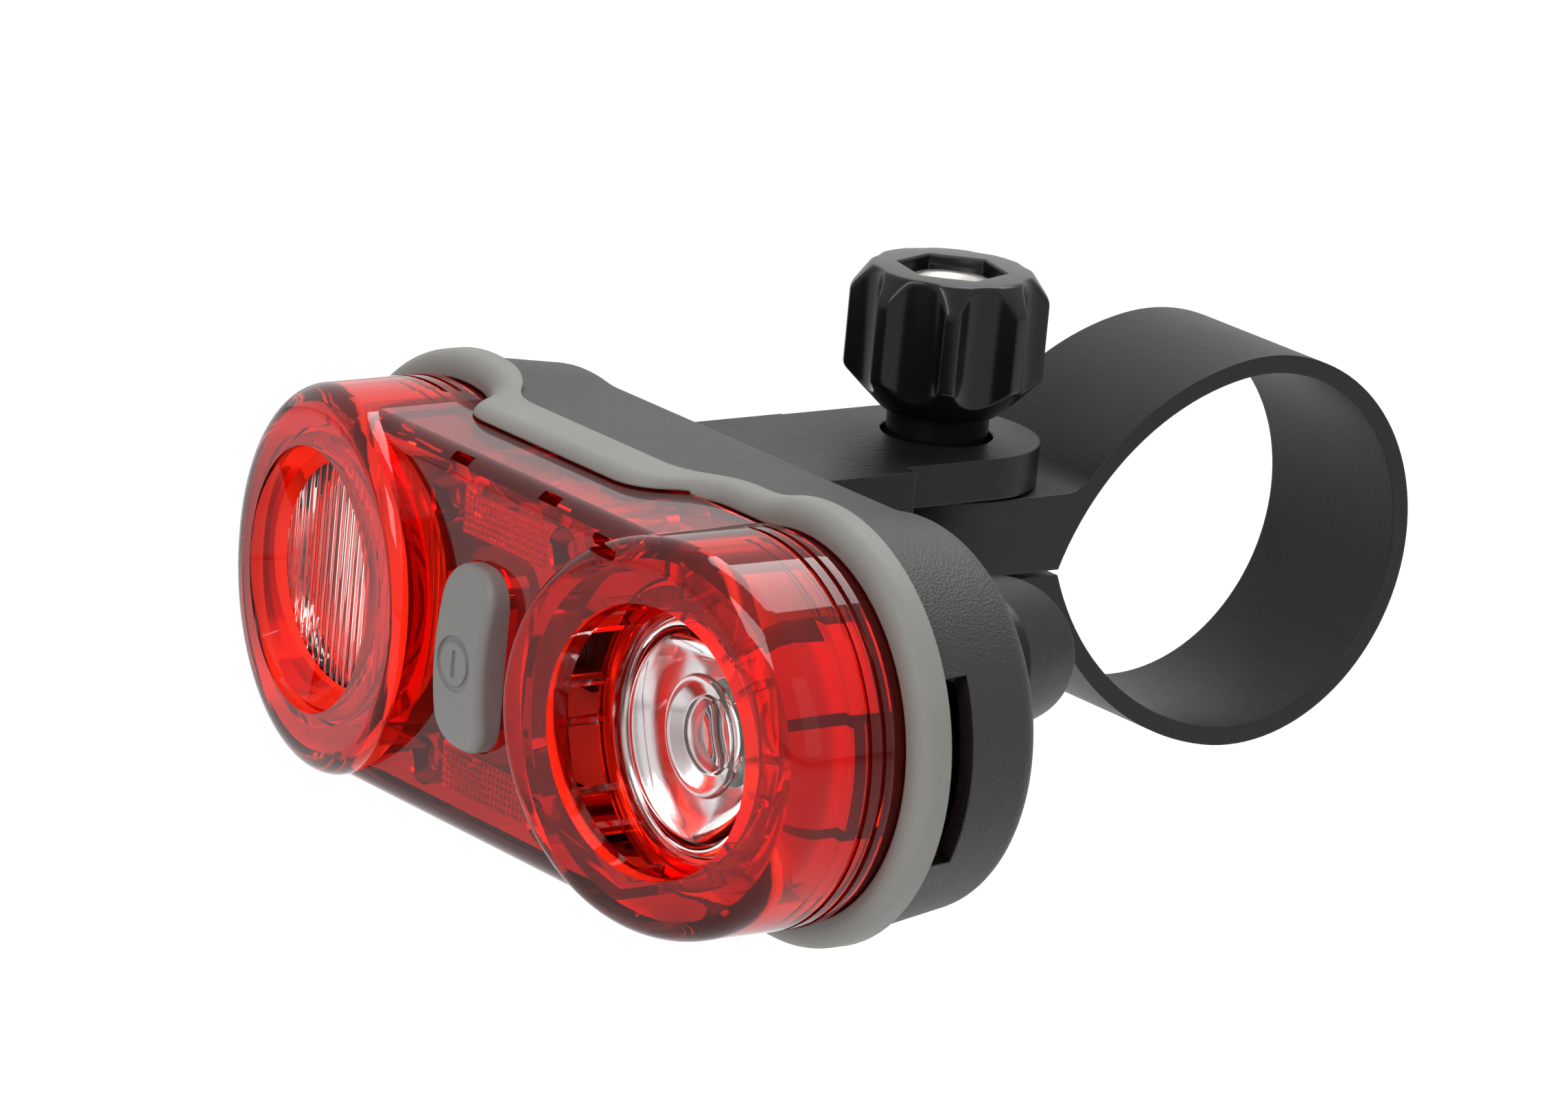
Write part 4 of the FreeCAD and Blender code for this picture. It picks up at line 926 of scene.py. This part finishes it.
def build_diode(name, side, solid):
    """Back of the foot, its four sides, and the dome up to its tip."""
    d = DIODE
    count = d["points"]
    loops = [round_loop(count, 0.0, d["foot_back"]), square_loop(count, d["foot"], d["foot_back"]),
             square_loop(count, d["foot"], d["foot_front"] + d["foot_edge"]),
             square_loop(count, d["foot"] - d["foot_edge"], d["foot_front"])]
    for part in parts(d["dome_steps"]):
        bend = math.pi / 2.0 * part
        loops.append(round_loop(count, d["dome"] * math.cos(bend),
                                d["foot_front"] - d["dome"] * math.sin(bend)))
    bm = join_loops(loops, about_lamp(side), False)
    shade(bm, sharp_angle=35.0)
    as_piece(name, bm, diode_finish, "front_module", solid)


build_diode("right_diode", 1, "led_right")
build_diode("left_diode", -1, "led_left")

# %% [markdown]
# The left lamp looks through a round pane with upright flutes, which spread the light sideways. Each
# flute is a shallow wave across the pane and straight along it, so the pane is built from narrow
# columns, each with the wave's depth at its place and the circle's height at its place.

# %% Fluted pane
PANE = dict(radius=12.2, field=10.6, front=4.55, thickness=1.8, pitch=0.95, depth=0.28, steps=10,
            rim=0.05, step_height=0.02, end_half=0.1)


def pane_column(x):
    """One column's eight points at a place across the pane: the fluted front, then the flat back."""
    p = PANE
    high = math.sqrt(max(p["radius"] ** 2 - x ** 2, p["end_half"] ** 2))
    field = math.sqrt(max(p["field"] ** 2 - x ** 2, 0.0))
    inner = min(field, high - p["rim"])
    step = inner + p["step_height"]
    wave = p["depth"] * (0.5 - 0.5 * math.cos(2.0 * math.pi * x / p["pitch"])) if field > 0.0 else 0.0
    front = p["front"]
    back = front + p["thickness"]
    spots = ((front, high), (front, step), (front + wave, inner), (front + wave, -inner), (front, -step),
             (front, -high), (back, -high), (back, high))
    return [Vector((x, y, z)) for y, z in spots]


def build_pane():
    """Columns of points across the pane, joined to a closed disc with a fluted face."""
    radius = PANE["radius"]
    place = LIGHT - Vector((LAMP_SPAN * MM, 0.0, 0.0))
    count = int(2.0 * radius / PANE["pitch"] * PANE["steps"])
    bm = bmesh.new()
    columns = []
    for part in parts(count):
        column = pane_column(2.0 * radius * part - radius)
        columns.append([bm.verts.new(place + spot * MM) for spot in column])
    for left, right in zip(columns, columns[1:]):
        for k in range(len(left)):
            n = (k + 1) % len(left)
            bm.faces.new((left[k], left[n], right[n], right[k]))
    bm.faces.new(columns[0])
    bm.faces.new(columns[-1])
    shade(bm, sharp_angle=50.0)
    as_piece("fluted_pane", bm, pane_finish, "front_module", "fluted_lens")


build_pane()

# %% [markdown]
# Behind the flat panel the red plastic is moulded in to small pyramids, which throw a driver's
# headlamps back. They repeat hundreds of times, so Geometry Nodes lay them out: a grid of points, one
# four-sided cone on each, made real and given its material. The tree's sizes are named inputs, and the
# result is baked to a plain mesh before it rides on the lens.

# %% Helpers for geometry trees
def finish_tree(tree, geometry, end, finish):
    """Ends a geometry tree: instances made real, the material set, and the output joined."""
    real = tree.nodes.new("GeometryNodeRealizeInstances")
    dress = tree.nodes.new("GeometryNodeSetMaterial")
    dress.inputs["Material"].default_value = finish
    tree.links.new(geometry, real.inputs["Geometry"])
    tree.links.new(real.outputs["Geometry"], dress.inputs["Geometry"])
    tree.links.new(dress.outputs["Geometry"], end.inputs["Geometry"])


def bake_tree(name, tree, values, body):
    """Runs a tree once with its values and keeps the result as a plain mesh on a body."""
    source = bpy.data.objects.new(name + "_source", bpy.data.meshes.new(name + "_source"))
    bpy.context.scene.collection.objects.link(source)
    modifier = source.modifiers.new("build", "NODES")
    modifier.node_group = tree
    sockets = {item.name: item.identifier for item in tree.interface.items_tree if item.in_out == "INPUT"}
    for label, value in values.items():
        modifier[sockets[label]] = value
    seen = source.evaluated_get(bpy.context.evaluated_depsgraph_get())
    mesh = bpy.data.meshes.new_from_object(seen)
    source.modifiers.remove(modifier)
    bpy.data.objects.remove(source)
    mesh.name = name
    ride_piece(name, mesh, body)


print("helpers for geometry trees")

# %% [markdown]
# Two bands of the panel have pyramids, above and below the button, so one tree makes both fields.

# %% Prism field
PRISMS = dict(across=20, up=6, pitch=0.6, depth=0.32, panel_back=3.0, gap=0.2, height=10.9)
CORNER_REACH = 0.69


def build_prism_tree():
    """Rows of small four-sided pyramids that point back in to the light."""
    tree, start, end = new_group(
        "prism_field",
        [("Across", "NodeSocketInt", 24), ("Up", "NodeSocketInt", 6), ("Pitch", "NodeSocketFloat", 0.0006),
         ("Depth", "NodeSocketFloat", 0.0003), ("Place", "NodeSocketVector", (0.0, 0.0, 0.0))],
        [("Geometry", "NodeSocketGeometry")], "GeometryNodeTree")
    links = tree.links
    grid = tree.nodes.new("GeometryNodeMeshGrid")
    for label, size, points in (("Across", "Size X", "Vertices X"), ("Up", "Size Y", "Vertices Y")):
        gaps = math_node(tree, "SUBTRACT", start.outputs[label], 1.0)
        links.new(math_node(tree, "MULTIPLY", gaps, start.outputs["Pitch"]), grid.inputs[size])
        links.new(start.outputs[label], grid.inputs[points])
    cone = add(tree, "GeometryNodeMeshCone", Vertices=4, Radius_Top=0.0)
    reach = math_node(tree, "MULTIPLY", start.outputs["Pitch"], CORNER_REACH)
    links.new(reach, cone.inputs["Radius Bottom"])
    links.new(start.outputs["Depth"], cone.inputs["Depth"])
    spread = add(tree, "GeometryNodeInstanceOnPoints", Rotation=(0.0, 0.0, math.radians(45.0)))
    links.new(grid.outputs["Mesh"], spread.inputs["Points"])
    links.new(cone.outputs["Mesh"], spread.inputs["Instance"])
    turn = add(tree, "GeometryNodeTransform", Rotation=(math.radians(-90.0), 0.0, 0.0))
    links.new(spread.outputs["Instances"], turn.inputs["Geometry"])
    links.new(start.outputs["Place"], turn.inputs["Translation"])
    finish_tree(tree, turn.outputs["Geometry"], end, red_finish)
    return tree


prism_tree = build_prism_tree()
prism_y = LIGHT.y + (PRISMS["panel_back"] + PRISMS["gap"]) * MM
for label, height in (("upper_prisms", PRISMS["height"]), ("lower_prisms", -PRISMS["height"])):
    bake_tree(label, prism_tree,
              {"Across": PRISMS["across"], "Up": PRISMS["up"], "Pitch": PRISMS["pitch"] * MM,
               "Depth": PRISMS["depth"] * MM, "Place": (LIGHT.x, prism_y, height * MM)}, "front_module")

# %% [markdown]
# The picture has a white ground and soft light from large lamps. The world is white to the camera, to
# reflections and to what is seen through clear plastic, and dimmer to everything else. The floor is
# pale and lies under the light, so it takes a soft shadow.

# %% World and floor
WHITE = (1.0, 1.0, 1.0)
AMBIENT = 0.45
GROUND_LEVEL = -0.090
FLOOR_HALF = 3.0
PAPER_TONE = 0.9
PAPER_ROUGHNESS = 0.9


def build_world():
    """A white ground to the camera and to reflections, and a plain ambient light to the rest."""
    world = bpy.data.worlds.new("studio")
    bpy.context.scene.world = world
    world.use_nodes = True
    tree = world.node_tree
    tree.nodes.clear()
    rays = tree.nodes.new("ShaderNodeLightPath")
    seen = add(tree, "ShaderNodeBackground", Color=(*WHITE, 1.0), Strength=1.0)
    ambient = add(tree, "ShaderNodeBackground", Color=(*WHITE, 1.0), Strength=AMBIENT)
    mix = tree.nodes.new("ShaderNodeMixShader")
    out = tree.nodes.new("ShaderNodeOutputWorld")
    first = math_node(tree, "MAXIMUM", rays.outputs["Is Camera Ray"], rays.outputs["Is Glossy Ray"])
    either = math_node(tree, "MAXIMUM", first, rays.outputs["Is Transmission Ray"])
    tree.links.new(either, mix.inputs[0])
    tree.links.new(ambient.outputs[0], mix.inputs[1])
    tree.links.new(seen.outputs[0], mix.inputs[2])
    tree.links.new(mix.outputs[0], out.inputs["Surface"])


def build_floor():
    """A wide pale floor that keeps the object's shadow."""
    mesh = bpy.data.meshes.new("floor")
    sides = ((-1, -1), (1, -1), (1, 1), (-1, 1))
    corners = [(x * FLOOR_HALF, y * FLOOR_HALF, GROUND_LEVEL) for x, y in sides]
    mesh.from_pydata(corners, [], [(0, 1, 2, 3)])
    floor = bpy.data.objects.new("floor", mesh)
    bpy.context.scene.collection.objects.link(floor)
    material, _, shader = new_material("floor_paper")
    shader.inputs["Base Color"].default_value = (PAPER_TONE, PAPER_TONE, PAPER_TONE, 1.0)
    shader.inputs["Roughness"].default_value = PAPER_ROUGHNESS
    mesh.materials.append(material)


build_world()
build_floor()
print("ground at", GROUND_LEVEL, "ambient", AMBIENT)

# %% [markdown]
# Three large square lamps stand as in a studio: the key in front and above, a weak fill on the right,
# and one overhead and behind that draws the top edges. Each has a place, a spot it points at, a size
# in metres and a power in watts.

# %% Lamps
LAMPS = (
    ("key_lamp", (0.35, -0.75, 0.75), (0.0, -0.05, 0.0), 0.50, 6.5),
    ("fill_lamp", (0.95, 0.10, 0.35), (0.0, -0.03, 0.0), 0.70, 0.9),
    ("top_lamp", (-0.20, 0.42, 0.95), (0.0, -0.03, 0.0), 0.70, 9.0),
)


def add_lamp(name, place, aim, size, watts):
    """A large soft square lamp that points at a place."""
    data = bpy.data.lights.new(name, "AREA")
    data.shape = "SQUARE"
    data.size = size
    data.energy = watts
    lamp = bpy.data.objects.new(name, data)
    bpy.context.scene.collection.objects.link(lamp)
    lamp.location = place
    lamp.rotation_euler = (Vector(aim) - Vector(place)).to_track_quat("-Z", "Y").to_euler()


for lamp in LAMPS:
    add_lamp(*lamp)
bpy.context.scene.view_settings.view_transform = "Standard"
print("lamps", [lamp[0] for lamp in LAMPS])
